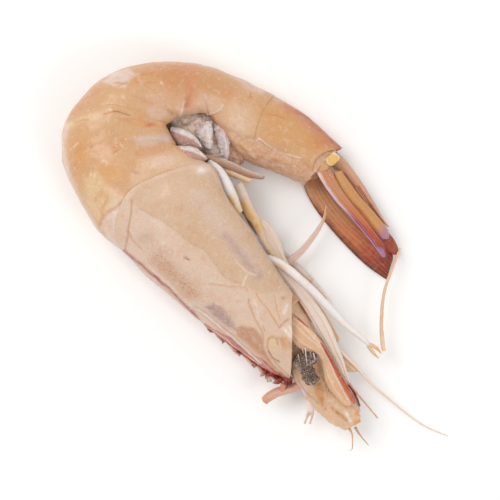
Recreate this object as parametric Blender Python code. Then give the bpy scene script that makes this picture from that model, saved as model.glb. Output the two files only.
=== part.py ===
"""A raw king prawn lying curled on its right side, head and tail fan on.

Lengths are in millimetres here and become metres where vertices are placed. +Z is up, and the
prawn lies on z = 0 with its left side up. Seen from above, its head points down and right,
and its tail curls over the top to the right.
"""
import math
from typing import NamedTuple

import bmesh
import bpy
from mathutils import Matrix, Vector

MM = 0.001
GAP = 0.3
CUT_CLEARANCE = 0.34
SHELL_CUT_SIZE = 1.02
RING_CUT_SIZE = 1.01
SHELL_CUT_PART = 0.03
PLACE_STEP = 0.05
LINE_STEP = 0.02
SMOOTH_LIMIT = math.radians(42.0)


class Section(NamedTuple):
    """One cross-section: where its two edges are seen from above, its mid height and thickness."""
    first: tuple
    second: tuple
    mid: float
    half: float


class Edge(NamedTuple):
    """Where a piece ends, as a place in its list of sections, and how that end is curved.

    bulge moves the end along the body at both sides, and slant moves it more at the back
    than at the belly.
    """
    at: float
    bulge: float = 0.0
    slant: float = 0.0

    @property
    def room(self):
        """How much more of a gap a steeply curved end needs along the body."""
        return 1.0 + 2.0 * abs(self.bulge)


# The body from the eyes to the root of the tail fan: back, belly, mid height, half width.
BODY = [
    Section((18.5, -41.0), (25.5, -36.8), 7.3, 3.0),
    Section((15.5, -37.5), (24.0, -32.5), 7.7, 4.0),
    Section((11.5, -33.8), (22.3, -28.0), 8.0, 5.0),
    Section((8.8, -30.8), (20.8, -23.0), 8.5, 6.2),
    Section((2.5, -28.0), (15.5, -14.3), 9.1, 7.8),
    Section((-5.8, -22.0), (8.5, -8.0), 9.7, 9.3),
    Section((-14.5, -15.3), (3.0, -0.3), 10.1, 10.4),
    Section((-22.0, -9.0), (-2.0, 7.3), 10.7, 11.0),
    Section((-28.8, -3.5), (-7.5, 14.8), 10.7, 11.0),
    Section((-33.5, 1.5), (-11.0, 22.8), 10.7, 10.8),
    Section((-40.0, 7.0), (-15.8, 24.5), 10.4, 10.5),
    Section((-47.8, 20.8), (-19.5, 27.3), 10.1, 10.2),
    Section((-49.0, 27.5), (-21.5, 29.5), 9.7, 10.0),
    Section((-48.0, 34.0), (-22.8, 32.3), 9.7, 10.0),
    Section((-43.3, 41.0), (-21.5, 34.0), 9.4, 9.7),
    Section((-36.5, 46.3), (-20.0, 34.8), 9.0, 9.3),
    Section((-26.5, 49.0), (-16.3, 35.3), 8.5, 8.8),
    Section((-15.3, 48.8), (-12.8, 35.0), 7.7, 8.0),
    Section((-5.8, 45.8), (-9.0, 29.5), 7.0, 7.3),
    Section((3.0, 41.5), (-3.0, 24.3), 6.4, 6.8),
    Section((12.0, 36.3), (3.5, 21.8), 5.8, 6.2),
    Section((21.0, 28.3), (12.0, 18.5), 4.9, 5.2),
]

# Ends of the carapace and of the six rings of the abdomen, as places in BODY.
FACE_EDGE = Edge(4.1, slant=-0.9)
SHELL_REAR = Edge(9.0, bulge=1.1)
RING_REARS = [
    Edge(11.0, bulge=0.8),
    Edge(13.0, bulge=0.7),
    Edge(15.0, bulge=0.2),
    Edge(17.0),
    Edge(19.0, bulge=-0.14),
    Edge(21.0, bulge=-0.42),
]

RING_AROUND = 28
RING_ALONG = 5
SHELL_AROUND = 32
SHELL_ALONG = 14
CAP_RINGS = 3
WHOLE_RUN = (44, 3)

# Relief, as shares of a section's size, with the angles round it and the parts along a piece
# that it covers. Angles are from the back, and CHANNEL_EASE is the slope of a channel's walls.
RING_TUCK = 0.035
RING_TUCK_END = 0.34
RING_FLARE = 0.012
RING_FLARE_START = 0.6
BELLY_CHANNEL = 0.13
BELLY_CHANNEL_ANGLE = 0.72
SHELL_CHANNEL = 0.07
SHELL_CHANNEL_ANGLE = 0.5
CHANNEL_EASE = 0.24
CREST_RISE = 0.03
CREST_ANGLE = 0.34
CREST_EASE = 0.2
CREST_END = 0.9
CREST_FADE = 0.3
NECK_GROOVE_DEPTH = 0.035
NECK_GROOVE_AT = 0.36
NECK_GROOVE_SLANT = 0.12
NECK_GROOVE_WIDTH = 0.06
GILL_COVER_RISE = 0.02
GILL_COVER_START = 0.45
GILL_COVER_FADE = 0.3
SHELL_FLARE = 0.01
SHELL_FLARE_START = 0.93
HEAD_FOLD_DEPTH = 0.05
HEAD_FOLDS_AROUND = 4.0
HEAD_FOLDS_TURN = 9.0

# The toothed blade on the front of the carapace, as places in BODY and heights off the back.
BLADE_START = 5.9
BLADE_TIP = 3.1
BLADE_TEETH = 8
BLADE_TOOTH = 1.6
BLADE_DEPTH = 3.4
BLADE_THICKNESS = 1.5
BLADE_LEAN = 0.1
BLADE_EDGE = 0.35
BLADE_TAPER = 0.3
BLADE_ROOT_END = 0.5
BLADE_ROOT_TAPER = 0.97

# The face: its fleshy core from the tips of the short feeler stalks back into the carapace.
HEAD = [
    Section((21.8, -43.4), (26.0, -41.0), 7.2, 1.3),
    Section((17.4, -41.0), (24.2, -35.8), 7.5, 2.1),
    Section((12.4, -35.8), (19.4, -29.8), 7.9, 2.7),
    Section((9.2, -30.6), (16.0, -23.4), 8.3, 3.0),
    Section((5.2, -24.8), (12.8, -15.4), 8.9, 4.3),
    Section((1.8, -21.0), (9.0, -10.0), 9.2, 6.0),
]

# The plates that flank the face, each from its root to its tip.
SCALE_LEFT = [
    Section((8.8, -14.4), (7.4, -16.6), 15.0, 0.4),
    Section((13.4, -17.8), (11.0, -20.6), 14.0, 0.6),
    Section((17.4, -23.3), (15.2, -25.4), 12.6, 0.6),
    Section((20.8, -30.0), (16.8, -32.0), 11.6, 0.6),
    Section((23.8, -36.3), (22.0, -37.3), 10.6, 0.4),
]
SCALE_RIGHT = [
    Section((11.0, -16.0), (9.4, -18.0), 3.6, 0.4),
    Section((16.0, -20.4), (12.8, -23.0), 4.0, 0.5),
    Section((20.4, -26.0), (17.4, -28.2), 4.2, 0.5),
    Section((23.4, -32.0), (19.4, -34.4), 4.2, 0.5),
    Section((26.4, -39.2), (24.8, -39.8), 4.2, 0.4),
]
MOUTH_FLAP_LEFT = [
    Section((13.4, -9.8), (11.2, -12.2), 10.9, 0.4),
    Section((17.6, -16.0), (14.8, -18.4), 10.4, 0.6),
    Section((20.6, -23.4), (18.4, -24.6), 9.6, 0.6),
    Section((23.0, -30.4), (21.8, -31.0), 9.0, 0.4),
]
MOUTH_FLAP_RIGHT = [
    Section((12.0, -8.2), (9.6, -11.0), 7.0, 0.4),
    Section((16.6, -13.4), (13.6, -16.4), 6.8, 0.5),
    Section((20.8, -20.8), (19.2, -22.0), 6.6, 0.4),
]

# The tail fan: the pointed middle plate, and two leaves on each side with the lobe they hang on.
TELSON = [
    Section((19.4, 29.0), (15.4, 24.4), 4.8, 2.6),
    Section((22.6, 24.8), (19.2, 21.8), 4.7, 2.3),
    Section((25.6, 20.4), (22.6, 18.4), 4.5, 1.8),
    Section((29.2, 14.4), (27.6, 13.6), 4.1, 1.3),
    Section((33.4, 8.2), (32.9, 7.9), 3.9, 0.4),
]
UROPOD_BASE_LEFT = [
    Section((12.4, 27.4), (9.2, 21.8), 7.4, 1.9),
    Section((16.0, 25.4), (12.6, 20.6), 7.8, 1.9),
    Section((18.6, 23.4), (15.0, 19.9), 8.0, 1.2),
]
UROPOD_BASE_RIGHT = [
    Section((12.4, 27.4), (9.2, 21.8), 1.9, 1.6),
    Section((16.0, 25.4), (12.6, 20.6), 1.8, 1.5),
    Section((17.8, 22.8), (14.2, 19.6), 1.7, 0.9),
]
UROPOD_INNER_LEFT = [
    Section((20.9, 22.2), (18.9, 19.8), 7.7, 0.4),
    Section((24.6, 17.6), (21.8, 15.3), 7.3, 0.5),
    Section((28.0, 13.0), (25.3, 11.4), 6.6, 0.5),
    Section((31.3, 9.4), (28.4, 8.0), 5.9, 0.5),
    Section((33.4, 6.0), (31.8, 5.0), 5.3, 0.4),
]
UROPOD_OUTER_LEFT = [
    Section((19.2, 22.4), (15.3, 19.2), 9.3, 0.4),
    Section((21.9, 17.4), (17.0, 16.4), 9.0, 0.6),
    Section((25.4, 12.4), (20.9, 12.3), 8.2, 0.6),
    Section((28.9, 8.2), (25.2, 7.9), 7.4, 0.6),
    Section((32.0, 3.8), (29.6, 2.9), 6.6, 0.5),
    Section((33.2, 1.2), (31.6, 0.4), 6.2, 0.4),
]
UROPOD_INNER_RIGHT = [
    Section((19.0, 20.2), (16.6, 18.2), 3.2, 0.4),
    Section((24.4, 15.4), (21.2, 13.2), 2.7, 0.5),
    Section((29.8, 10.2), (26.4, 7.9), 2.5, 0.5),
    Section((34.4, 5.4), (31.6, 3.2), 2.4, 0.5),
    Section((36.3, 1.9), (35.2, 0.4), 2.3, 0.4),
]
UROPOD_OUTER_RIGHT = [
    Section((16.8, 19.8), (12.4, 17.4), 0.8, 0.4),
    Section((20.0, 16.2), (14.2, 13.0), 0.8, 0.6),
    Section((23.6, 12.0), (17.6, 8.4), 0.8, 0.6),
    Section((28.0, 8.0), (22.2, 3.6), 0.8, 0.6),
    Section((32.4, 4.6), (27.4, -1.4), 0.8, 0.6),
    Section((34.7, 1.4), (31.6, -4.8), 0.8, 0.5),
    Section((35.0, -1.6), (33.2, -5.8), 0.8, 0.4),
]

# A flat leg beside the rods under the chest.
LEG_FLAP = [
    Section((-1.6, 12.6), (-4.8, 10.4), 7.5, 0.5),
    Section((2.8, 9.2), (0.6, 7.4), 7.5, 0.5),
    Section((5.6, 4.2), (3.4, 3.4), 7.5, 0.5),
    Section((7.8, -1.6), (6.6, -2.4), 7.5, 0.4),
]

# The flaps under the abdomen, seen in the hollow of the curl.
SWIMMERET_LEAF_UPPER = [
    Section((-24.4, 31.2), (-23.6, 27.8), 12.4, 0.9),
    Section((-18.6, 32.2), (-18.0, 27.6), 13.2, 1.1),
    Section((-14.4, 31.4), (-14.6, 28.4), 13.2, 0.6),
]
SWIMMERET_LEAF_LOWER = [
    Section((-22.6, 27.8), (-20.6, 24.0), 15.4, 0.8),
    Section((-17.2, 27.8), (-16.0, 24.0), 16.2, 1.0),
    Section((-12.4, 26.4), (-12.2, 24.4), 15.4, 0.6),
]
SWIMMERET_LOBE_NEAR = [
    Section((-14.2, 37.4), (-18.8, 37.4), 9.6, 1.2),
    Section((-12.4, 32.8), (-18.4, 32.8), 9.9, 1.4),
    Section((-12.2, 27.4), (-15.4, 27.9), 10.0, 0.9),
]
SWIMMERET_LOBE_FAR = [
    Section((-7.4, 36.4), (-11.8, 37.2), 7.2, 1.2),
    Section((-7.2, 31.6), (-11.6, 32.0), 7.0, 1.4),
    Section((-7.2, 26.0), (-10.4, 25.4), 6.8, 0.9),
]
SWIMMERET_HIDDEN = [
    Section((-12.4, 36.6), (-18.6, 36.8), 4.6, 1.0),
    Section((-12.6, 31.6), (-18.2, 31.6), 4.6, 1.2),
    Section((-12.8, 27.2), (-16.4, 27.4), 4.6, 0.8),
]

EYE_LEFT_PLACE = (12.0, -26.6, 14.2)
EYE_RIGHT_PLACE = (12.2, -27.9, 2.6)
EYE_HALF_SIZES = (3.3, 4.3, 2.3)
EYE_TURN = math.radians(28.0)
EYE_FOLD_DEPTH = 0.05
EYE_FOLDS_AROUND = 4.0
EYE_FOLDS_TURN = 3.0


def linear_part(value):
    """One 8-bit display value as a linear value."""
    value = value / 255.0
    if value <= 0.04045:
        return value / 12.92
    return ((value + 0.055) / 1.055) ** 2.4


def linear(colour):
    """An 8-bit display colour as the linear values a shader takes."""
    return (*[linear_part(value) for value in colour], 1.0)


def surface(name, colour, roughness):
    """A plain surface in one of the prawn's colours."""
    material = bpy.data.materials.new(name)
    material.use_nodes = True
    shader = material.node_tree.nodes["Principled BSDF"]
    shader.inputs["Base Color"].default_value = linear(colour)
    shader.inputs["Roughness"].default_value = roughness
    shader.inputs["Metallic"].default_value = 0.0
    return material


def blend(values, place):
    """The value at a place in an evenly counted list of vectors, on a smooth curve."""
    last = len(values) - 1
    index = min(max(math.floor(place), 0), last - 1)
    step = place - index
    before = values[max(index - 1, 0)]
    start = values[index]
    end = values[index + 1]
    after = values[min(index + 2, last)]
    bend = 2.0 * before - 5.0 * start + 4.0 * end - after
    twist = 3.0 * start - before - 3.0 * end + after
    return 0.5 * (2.0 * start + (end - before) * step + bend * step ** 2 + twist * step ** 3)


def rows_of(sections):
    """Sections as plain vectors, ready for blending."""
    rows = []
    for section in sections:
        rows.append(Vector((*section.first, *section.second, section.mid, section.half)))
    return rows


def section_point(rows, place, across, up, grow=0.0):
    """A place in a section: across is 1 at its first edge, up is 1 at its upper side."""
    row = blend(rows, place)
    first = Vector(row[0:2])
    second = Vector(row[2:4])
    centre = (first + second) / 2.0
    reach = (first - second) / 2.0
    reach += reach.normalized() * grow
    flat = centre + reach * across
    return Vector((flat.x, flat.y, row[4] + (row[5] + grow) * up))


def section_run(rows, place, across, up):
    """Unit direction along the piece at a place in it."""
    ahead = section_point(rows, place + PLACE_STEP, across, up)
    behind = section_point(rows, place - PLACE_STEP, across, up)
    return (ahead - behind).normalized()


def edge_place(edge, across, up):
    """The place of a curved end at one point of its cross-section."""
    return edge.at + edge.bulge * up * up + edge.slant * across


def even(_along, _angle):
    """No relief."""
    return 1.0


def smooth(value):
    """An eased step from 0 to 1."""
    value = min(max(value, 0.0), 1.0)
    return value * value * (3.0 - 2.0 * value)


def channel(angle, half_angle):
    """How far an angle lies in the channel between the side plates, under the belly."""
    off = abs(math.pi - abs(angle))
    return smooth((half_angle - off) / CHANNEL_EASE + 0.5)


def ring_relief(along, angle):
    """A ring of the abdomen: tucked in at its front, flared behind, open under the belly."""
    tuck = RING_TUCK * (1.0 - smooth(along / RING_TUCK_END))
    flare = RING_FLARE * smooth((along - RING_FLARE_START) / (1.0 - RING_FLARE_START))
    return (1.0 - tuck + flare) * (1.0 - BELLY_CHANNEL * channel(angle, BELLY_CHANNEL_ANGLE))


def shell_relief(along, angle):
    """The carapace: a low crest on the back, a groove behind the face, a fuller gill cover."""
    crest = CREST_RISE * smooth((CREST_ANGLE - abs(angle)) / CREST_EASE)
    crest *= smooth((CREST_END - along) / CREST_FADE)
    side = math.sin(abs(angle))
    off = along - NECK_GROOVE_AT - NECK_GROOVE_SLANT * math.cos(angle)
    groove = NECK_GROOVE_DEPTH * side * math.exp(-(off / NECK_GROOVE_WIDTH) ** 2)
    cover = GILL_COVER_RISE * side * smooth((along - GILL_COVER_START) / GILL_COVER_FADE)
    flare = SHELL_FLARE * smooth((along - SHELL_FLARE_START) / (1.0 - SHELL_FLARE_START))
    full = 1.0 + crest - groove + cover + flare
    return full * (1.0 - SHELL_CHANNEL * channel(angle, SHELL_CHANNEL_ANGLE))


def head_relief(along, angle):
    """Folds between the stalks of the feelers."""
    return 1.0 + HEAD_FOLD_DEPTH * math.sin(HEAD_FOLDS_AROUND * angle + HEAD_FOLDS_TURN * along)


def add_piece(name, mesh_data, material, parent):
    """An object around a mesh given in world millimetres, with its origin at its centre."""
    bmesh.ops.recalc_face_normals(mesh_data, faces=mesh_data.faces)
    if mesh_data.calc_volume(signed=True) < 0.0:
        bmesh.ops.reverse_faces(mesh_data, faces=mesh_data.faces)
    centre = Vector((0.0, 0.0, 0.0))
    for vert in mesh_data.verts:
        centre += vert.co
    centre /= len(mesh_data.verts)
    to_local = Matrix.Scale(MM, 4) @ Matrix.Translation(-centre)
    bmesh.ops.transform(mesh_data, matrix=to_local, verts=mesh_data.verts)
    mesh = bpy.data.meshes.new(name)
    mesh_data.to_mesh(mesh)
    mesh_data.free()
    mesh.shade_smooth()
    mesh.set_sharp_from_angle(angle=SMOOTH_LIMIT)
    mesh.materials.append(material)
    piece = bpy.data.objects.new(name, mesh)
    piece.location = centre * MM
    piece.parent = parent
    bpy.context.scene.collection.objects.link(piece)
    return piece


def wrapped(around, along, cap_rings, place):
    """A ball whose rows become an end cap, a side wall and another end cap.

    place takes how far along the piece a vertex is, how far out from its middle line, and
    its angle round it.
    """
    mesh_data = bmesh.new()
    rows = along + 2 * cap_rings
    bmesh.ops.create_uvsphere(mesh_data, u_segments=around, v_segments=rows, radius=1.0)
    for vert in mesh_data.verts:
        height = min(max(vert.co.z, -1.0), 1.0)
        row = round(math.acos(height) / math.pi * rows)
        angle = math.atan2(vert.co.y, vert.co.x)
        reach = math.sin(min(row, rows - row, cap_rings) / cap_rings * math.pi / 2.0)
        part = min(max(row - cap_rings, 0), along) / along
        vert.co = place(part, reach, angle)
    bmesh.ops.triangulate(mesh_data, faces=mesh_data.faces, quad_method="SHORT_EDGE")
    return mesh_data


def lofted(sections, counts, ends=None, relief=even, grow=0.0, shift=0.0, floor=True):
    """A closed solid through a list of sections, with curved ends moved in or out by shift."""
    rows = rows_of(sections)
    start, finish = ends or (Edge(0.0), Edge(len(sections) - 1.0))

    def place(part, reach, angle):
        scale = reach * (relief(part, angle) if reach > 0.99 else 1.0)
        across = scale * math.cos(angle)
        up = scale * math.sin(angle)
        first = edge_place(start, across, up)
        last = edge_place(finish, across, up)
        at = first + (last - first) * part
        point = section_point(rows, at, across, up, grow * reach)
        if part == 0.0:
            point -= section_run(rows, at, across, up) * shift * start.room
        if part == 1.0:
            point += section_run(rows, at, across, up) * shift * finish.room
        if floor:
            point.z = max(point.z, 0.0)
        return point

    return wrapped(*counts, place)


def tube(points, radii, sides=7, per_span=2):
    """A round stalk along a smooth line of points, with a radius at each."""
    line = [Vector((*point, radius)) for point, radius in zip(points, radii)]
    spans = len(line) - 1

    def place(part, reach, angle):
        at = part * spans
        here = blend(line, at)
        ahead = Vector(blend(line, min(at + LINE_STEP, spans))[0:3])
        behind = Vector(blend(line, max(at - LINE_STEP, 0.0))[0:3])
        run = (ahead - behind).normalized()
        side = run.cross(Vector((0.0, 0.0, 1.0))).normalized()
        over = side.cross(run)
        out = side * math.cos(angle) + over * math.sin(angle)
        return Vector(here[0:3]) + out * here[3] * reach

    return wrapped(sides, per_span * spans, 1, place)


def cutter(name, mesh_data, parent):
    """A hidden solid that keeps pieces clear of what it stands for."""
    piece = add_piece(name, mesh_data, bpy.data.materials["guide"], parent)
    piece.hide_render = True
    piece.display_type = "WIRE"
    return piece


def combine(piece, other, operation):
    """A Boolean of one piece with another."""
    modifier = piece.modifiers.new(operation.lower(), "BOOLEAN")
    modifier.operation = operation
    modifier.solver = "EXACT"
    modifier.object = other


def blade():
    """The toothed crest that runs forward over the eyes, as a strip that is then thickened."""
    rows = rows_of(BODY)
    columns = 2 * BLADE_TEETH + 1
    mesh_data = bmesh.new()
    bmesh.ops.create_grid(mesh_data, x_segments=columns, y_segments=1, size=1.0)
    for vert in mesh_data.verts:
        column = round((vert.co.x + 1.0) / 2.0 * columns)
        part = column / columns
        toothed = column % 2 == 0 and 0 < column < columns
        at = BLADE_START + (BLADE_TIP - BLADE_START) * part
        if toothed:
            at -= BLADE_LEAN
        point = section_point(rows, at, 1.0, 0.0)
        inward = point - section_point(rows, at, 0.0, 0.0)
        inward.normalize()
        if vert.co.y > 0.0:
            height = BLADE_TOOTH if toothed else BLADE_EDGE
            height *= 1.0 - BLADE_TAPER * part
        else:
            taper = smooth((part - BLADE_ROOT_END) / (1.0 - BLADE_ROOT_END))
            height = -BLADE_DEPTH * (1.0 - BLADE_ROOT_TAPER * taper)
        vert.co = point + inward * height
    return mesh_data


def eyeball(middle):
    """An eye that has dried into folds: a ball drawn out and wrinkled."""
    mesh_data = bmesh.new()
    bmesh.ops.create_uvsphere(mesh_data, u_segments=14, v_segments=10, radius=1.0)
    turn = Matrix.Rotation(EYE_TURN, 3, "Z")
    for vert in mesh_data.verts:
        around = math.atan2(vert.co.z, vert.co.x)
        wave = math.sin(EYE_FOLDS_AROUND * around + EYE_FOLDS_TURN * vert.co.y)
        fold = 1.0 + EYE_FOLD_DEPTH * wave * (1.0 - abs(vert.co.y))
        size = [part * half * fold for part, half in zip(vert.co, EYE_HALF_SIZES)]
        vert.co = turn @ Vector(size) + middle
    return mesh_data


def build_carapace(root, looks):
    """The shield over the head and chest, one solid with its toothed blade."""
    ends = (FACE_EDGE, SHELL_REAR)
    counts = (SHELL_AROUND, SHELL_ALONG, CAP_RINGS)
    solid = lofted(BODY, counts, ends, shell_relief, shift=-GAP / 2.0)
    shell = add_piece("carapace", solid, looks["shell"], root)
    strip = cutter("guide_blade", blade(), root)
    thick = strip.modifiers.new("thickness", "SOLIDIFY")
    thick.thickness = BLADE_THICKNESS * MM
    thick.offset = 0.0
    combine(shell, strip, "UNION")


def build_rings(root, looks):
    """The six rings of the abdomen, each the full round of shell and meat."""
    front = SHELL_REAR
    for number, rear in enumerate(RING_REARS, start=1):
        counts = (RING_AROUND, RING_ALONG, CAP_RINGS)
        solid = lofted(BODY, counts, (front, rear), ring_relief, shift=-GAP / 2.0)
        add_piece(f"abdomen_ring_{number}", solid, looks["shell"], root)
        front = rear


def body_cutter(root):
    """The carapace and the rings a little larger, which pieces hung on the body are cut by."""
    shell_part = (SHELL_REAR.at - FACE_EDGE.at) / (RING_REARS[-1].at - FACE_EDGE.at)

    def relief(part, angle):
        if part < shell_part + SHELL_CUT_PART:
            return SHELL_CUT_SIZE * (1.0 - SHELL_CHANNEL * channel(angle, SHELL_CHANNEL_ANGLE))
        return RING_CUT_SIZE * (1.0 - BELLY_CHANNEL * channel(angle, BELLY_CHANNEL_ANGLE))

    counts = (SHELL_AROUND, *WHOLE_RUN)
    solid = lofted(BODY, counts, (FACE_EDGE, RING_REARS[-1]), relief, CUT_CLEARANCE, GAP, False)
    return cutter("guide_body", solid, root)


def build_plates(root, looks, body):
    """Everything leaf-shaped: the tail fan, the flaps under the belly and round the mouth."""
    plates = [
        ("antennal_scale_left", SCALE_LEFT, "plate", True),
        ("antennal_scale_right", SCALE_RIGHT, "plate", True),
        ("mouth_flap_left", MOUTH_FLAP_LEFT, "pale", True),
        ("mouth_flap_right", MOUTH_FLAP_RIGHT, "pale", True),
        ("leg_flap", LEG_FLAP, "pale", True),
        ("telson", TELSON, "tail", True),
        ("uropod_base_left", UROPOD_BASE_LEFT, "shell", True),
        ("uropod_base_right", UROPOD_BASE_RIGHT, "shell", True),
        ("uropod_inner_left", UROPOD_INNER_LEFT, "tail", False),
        ("uropod_outer_left", UROPOD_OUTER_LEFT, "tail", False),
        ("uropod_inner_right", UROPOD_INNER_RIGHT, "tail_dark", False),
        ("uropod_outer_right", UROPOD_OUTER_RIGHT, "tail_dark", False),
        ("swimmeret_leaf_upper", SWIMMERET_LEAF_UPPER, "swimmeret", True),
        ("swimmeret_leaf_lower", SWIMMERET_LEAF_LOWER, "swimmeret", True),
        ("swimmeret_lobe_near", SWIMMERET_LOBE_NEAR, "swimmeret", True),
        ("swimmeret_lobe_far", SWIMMERET_LOBE_FAR, "swimmeret", True),
        ("swimmeret_hidden", SWIMMERET_HIDDEN, "swimmeret", True),
    ]
    for name, sections, look, is_cut in plates:
        solid = lofted(sections, (10, 6, 1))
        piece = add_piece(name, solid, looks[look], root)
        if is_cut:
            combine(piece, body, "DIFFERENCE")


def build_head(root, looks, body):
    """The face and its two shrunken eyes."""
    head = add_piece("head", lofted(HEAD, (18, 8, 2), relief=head_relief), looks["plate"], root)
    combine(head, body, "DIFFERENCE")
    for name, middle in (("eye_left", EYE_LEFT_PLACE), ("eye_right", EYE_RIGHT_PLACE)):
        piece = add_piece(name, eyeball(Vector(middle)), looks["eye"], root)
        combine(piece, body, "DIFFERENCE")


def build_stalks(root, looks, body):
    """Legs, rods and feelers: a line of places and the radius at each."""
    stalks = [
        ("leg_stump", "pale", [(-10.2, 22.6, 13.6), (-7.6, 18.4, 14.2), (-4.4, 11.2, 13.4)],
         [1.5, 1.6, 1.2]),
        ("leg_rod", "pale", [(-9.0, 18.0, 8.6), (-4.8, 16.6, 9.2), (-1.9, 11.0, 9.4),
                             (1.6, 4.9, 9.4), (4.5, 0.7, 9.2)], [1.2, 1.2, 1.2, 1.1, 0.9]),
        ("leg_long", "pale", [(-0.5, 0.0, 11.4), (5.2, -1.2, 12.9), (12.8, -7.3, 12.8),
                              (20.8, -15.5, 10.6), (25.8, -19.8, 8.4), (30.6, -23.7, 6.4)],
         [1.1, 1.1, 0.95, 0.9, 0.8, 0.4]),
        ("leg_thin", "thin", [(32.0, -23.6, 5.4), (31.6, -21.2, 5.2), (31.4, -16.0, 5.0),
                              (32.2, -8.6, 4.6), (34.8, -1.3, 4.2), (36.2, 2.4, 4.6)],
         [0.7, 0.95, 0.7, 0.55, 0.4, 0.2]),
        ("leg_strap", "pale", [(2.4, -2.8, 5.6), (7.5, -0.9, 5.4), (11.3, 2.0, 5.4),
                               (14.8, 6.5, 5.2), (16.8, 10.0, 4.8), (17.4, 13.4, 4.4)],
         [0.8, 0.8, 0.7, 0.7, 0.5, 0.2]),
        ("leg_hidden_1", "pale", [(-10.0, 17.0, 5.6), (-4.6, 14.4, 5.4), (-1.2, 8.8, 5.6),
                                  (2.0, 4.0, 5.4)], [1.2, 1.2, 1.1, 0.7]),
        ("leg_hidden_2", "pale", [(1.0, 1.6, 3.2), (6.0, 0.6, 2.6), (12.4, -4.6, 2.2),
                                  (17.8, -10.4, 2.0)], [1.1, 1.1, 0.9, 0.4]),
        ("swimmeret_rod_upper", "swimmeret", [(-15.2, 25.6, 11.2), (-10.8, 24.1, 11.2),
                                              (-5.4, 22.5, 11.2), (1.4, 20.3, 11.0)],
         [0.9, 1.0, 0.9, 0.4]),
        ("swimmeret_rod_lower", "pale", [(-13.2, 21.6, 8.2), (-8.8, 21.4, 8.2),
                                         (-5.2, 20.2, 8.2), (-1.6, 18.6, 8.2)],
         [1.0, 1.1, 1.0, 0.9]),
        ("stalk_broken", "plate", [(9.4, -33.5, 6.6), (6.4, -34.8, 6.2), (3.6, -36.0, 5.8),
                                   (1.4, -37.5, 5.4)], [1.0, 1.1, 1.1, 1.0]),
        ("feeler_long", "thin", [(20.6, -24.6, 7.6), (26.3, -29.8, 6.0), (33.0, -36.8, 3.4),
                                 (41.3, -42.3, 1.4), (49.0, -46.0, 0.5)],
         [0.35, 0.35, 0.3, 0.3, 0.25]),
        ("feeler_short", "thin", [(24.2, -32.6, 6.4), (27.0, -36.4, 5.4), (30.5, -40.8, 4.4)],
         [0.35, 0.3, 0.25]),
        ("feeler_hooked", "thin", [(23.6, -43.2, 6.0), (23.7, -45.4, 5.2), (24.1, -47.6, 4.4),
                                   (23.9, -49.2, 3.8)], [0.35, 0.35, 0.3, 0.25]),
        ("feeler_tip", "thin", [(26.0, -42.8, 6.2), (27.2, -45.4, 5.4), (28.4, -47.8, 4.6)],
         [0.35, 0.3, 0.25]),
    ]
    for name, look, points, radii in stalks:
        piece = add_piece(name, tube(points, radii), looks[look], root)
        combine(piece, body, "DIFFERENCE")


def build_fork(root, looks):
    """The small two-pronged feeler under the face, its prongs joined at the root."""
    left = [(13.4, -36.6, 4.6), (13.0, -38.6, 4.4), (12.6, -42.2, 4.0)]
    right = [(13.6, -36.8, 4.6), (14.3, -38.8, 4.4), (13.9, -42.4, 4.0)]
    radii = [1.0, 0.6, 0.35]
    fork = add_piece("feeler_forked", tube(left, radii), looks["pale"], root)
    other = cutter("guide_prong", tube(right, radii), root)
    combine(fork, other, "UNION")


def main():
    for item in list(bpy.data.objects):
        bpy.data.objects.remove(item, do_unlink=True)
    root = bpy.data.objects.new("prawn", None)
    bpy.context.scene.collection.objects.link(root)
    surface("guide", (128, 128, 128), 0.5)
    looks = {
        "shell": surface("shell", (221, 178, 136), 0.38),
        "plate": surface("plate", (229, 198, 168), 0.45),
        "pale": surface("pale", (224, 205, 190), 0.42),
        "thin": surface("thin", (222, 178, 146), 0.45),
        "tail": surface("tail", (203, 146, 94), 0.36),
        "tail_dark": surface("tail_dark", (144, 85, 70), 0.36),
        "swimmeret": surface("swimmeret", (200, 175, 165), 0.45),
        "eye": surface("eye", (84, 76, 64), 0.5),
    }
    body = body_cutter(root)
    build_carapace(root, looks)
    build_rings(root, looks)
    build_head(root, looks, body)
    build_plates(root, looks, body)
    build_stalks(root, looks, body)
    build_fork(root, looks)


main()
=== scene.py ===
# %% [markdown]
# # A raw king prawn
# The prawn lies on its right side, so the camera sees its left side from straight above. A raw
# prawn is a set of thin, moist, slightly see-through plates over pale meat, with thin legs and
# feelers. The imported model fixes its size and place. The pieces below are finer and stand for its
# solids. Body and face have the solids' own lines. The tail leaves, paddles, legs and feelers
# follow the photograph more closely.
# %% Load the fixed frame
import math

import bmesh
import bpy
import numpy as np
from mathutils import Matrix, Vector, noise


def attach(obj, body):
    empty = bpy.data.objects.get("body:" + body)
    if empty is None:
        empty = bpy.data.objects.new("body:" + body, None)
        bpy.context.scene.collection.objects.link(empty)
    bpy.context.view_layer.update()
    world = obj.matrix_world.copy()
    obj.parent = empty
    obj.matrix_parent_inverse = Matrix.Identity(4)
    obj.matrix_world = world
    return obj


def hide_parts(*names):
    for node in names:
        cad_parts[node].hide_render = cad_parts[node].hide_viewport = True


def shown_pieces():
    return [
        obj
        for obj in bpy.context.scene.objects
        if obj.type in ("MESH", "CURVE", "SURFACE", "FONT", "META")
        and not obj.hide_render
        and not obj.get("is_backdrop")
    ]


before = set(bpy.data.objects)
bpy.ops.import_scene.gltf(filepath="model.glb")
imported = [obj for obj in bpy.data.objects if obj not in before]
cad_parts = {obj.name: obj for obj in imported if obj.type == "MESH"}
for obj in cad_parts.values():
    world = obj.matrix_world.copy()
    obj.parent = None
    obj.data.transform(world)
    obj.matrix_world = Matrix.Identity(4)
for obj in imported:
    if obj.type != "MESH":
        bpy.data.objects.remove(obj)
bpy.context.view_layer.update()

# %% [markdown]
# Lengths are easiest to read in millimetres, and Blender works in metres. Colours are easiest to
# read as the 0 to 255 numbers of a display, and a shader needs linear ones.
# %% Units and colours
MM = 0.001


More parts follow.
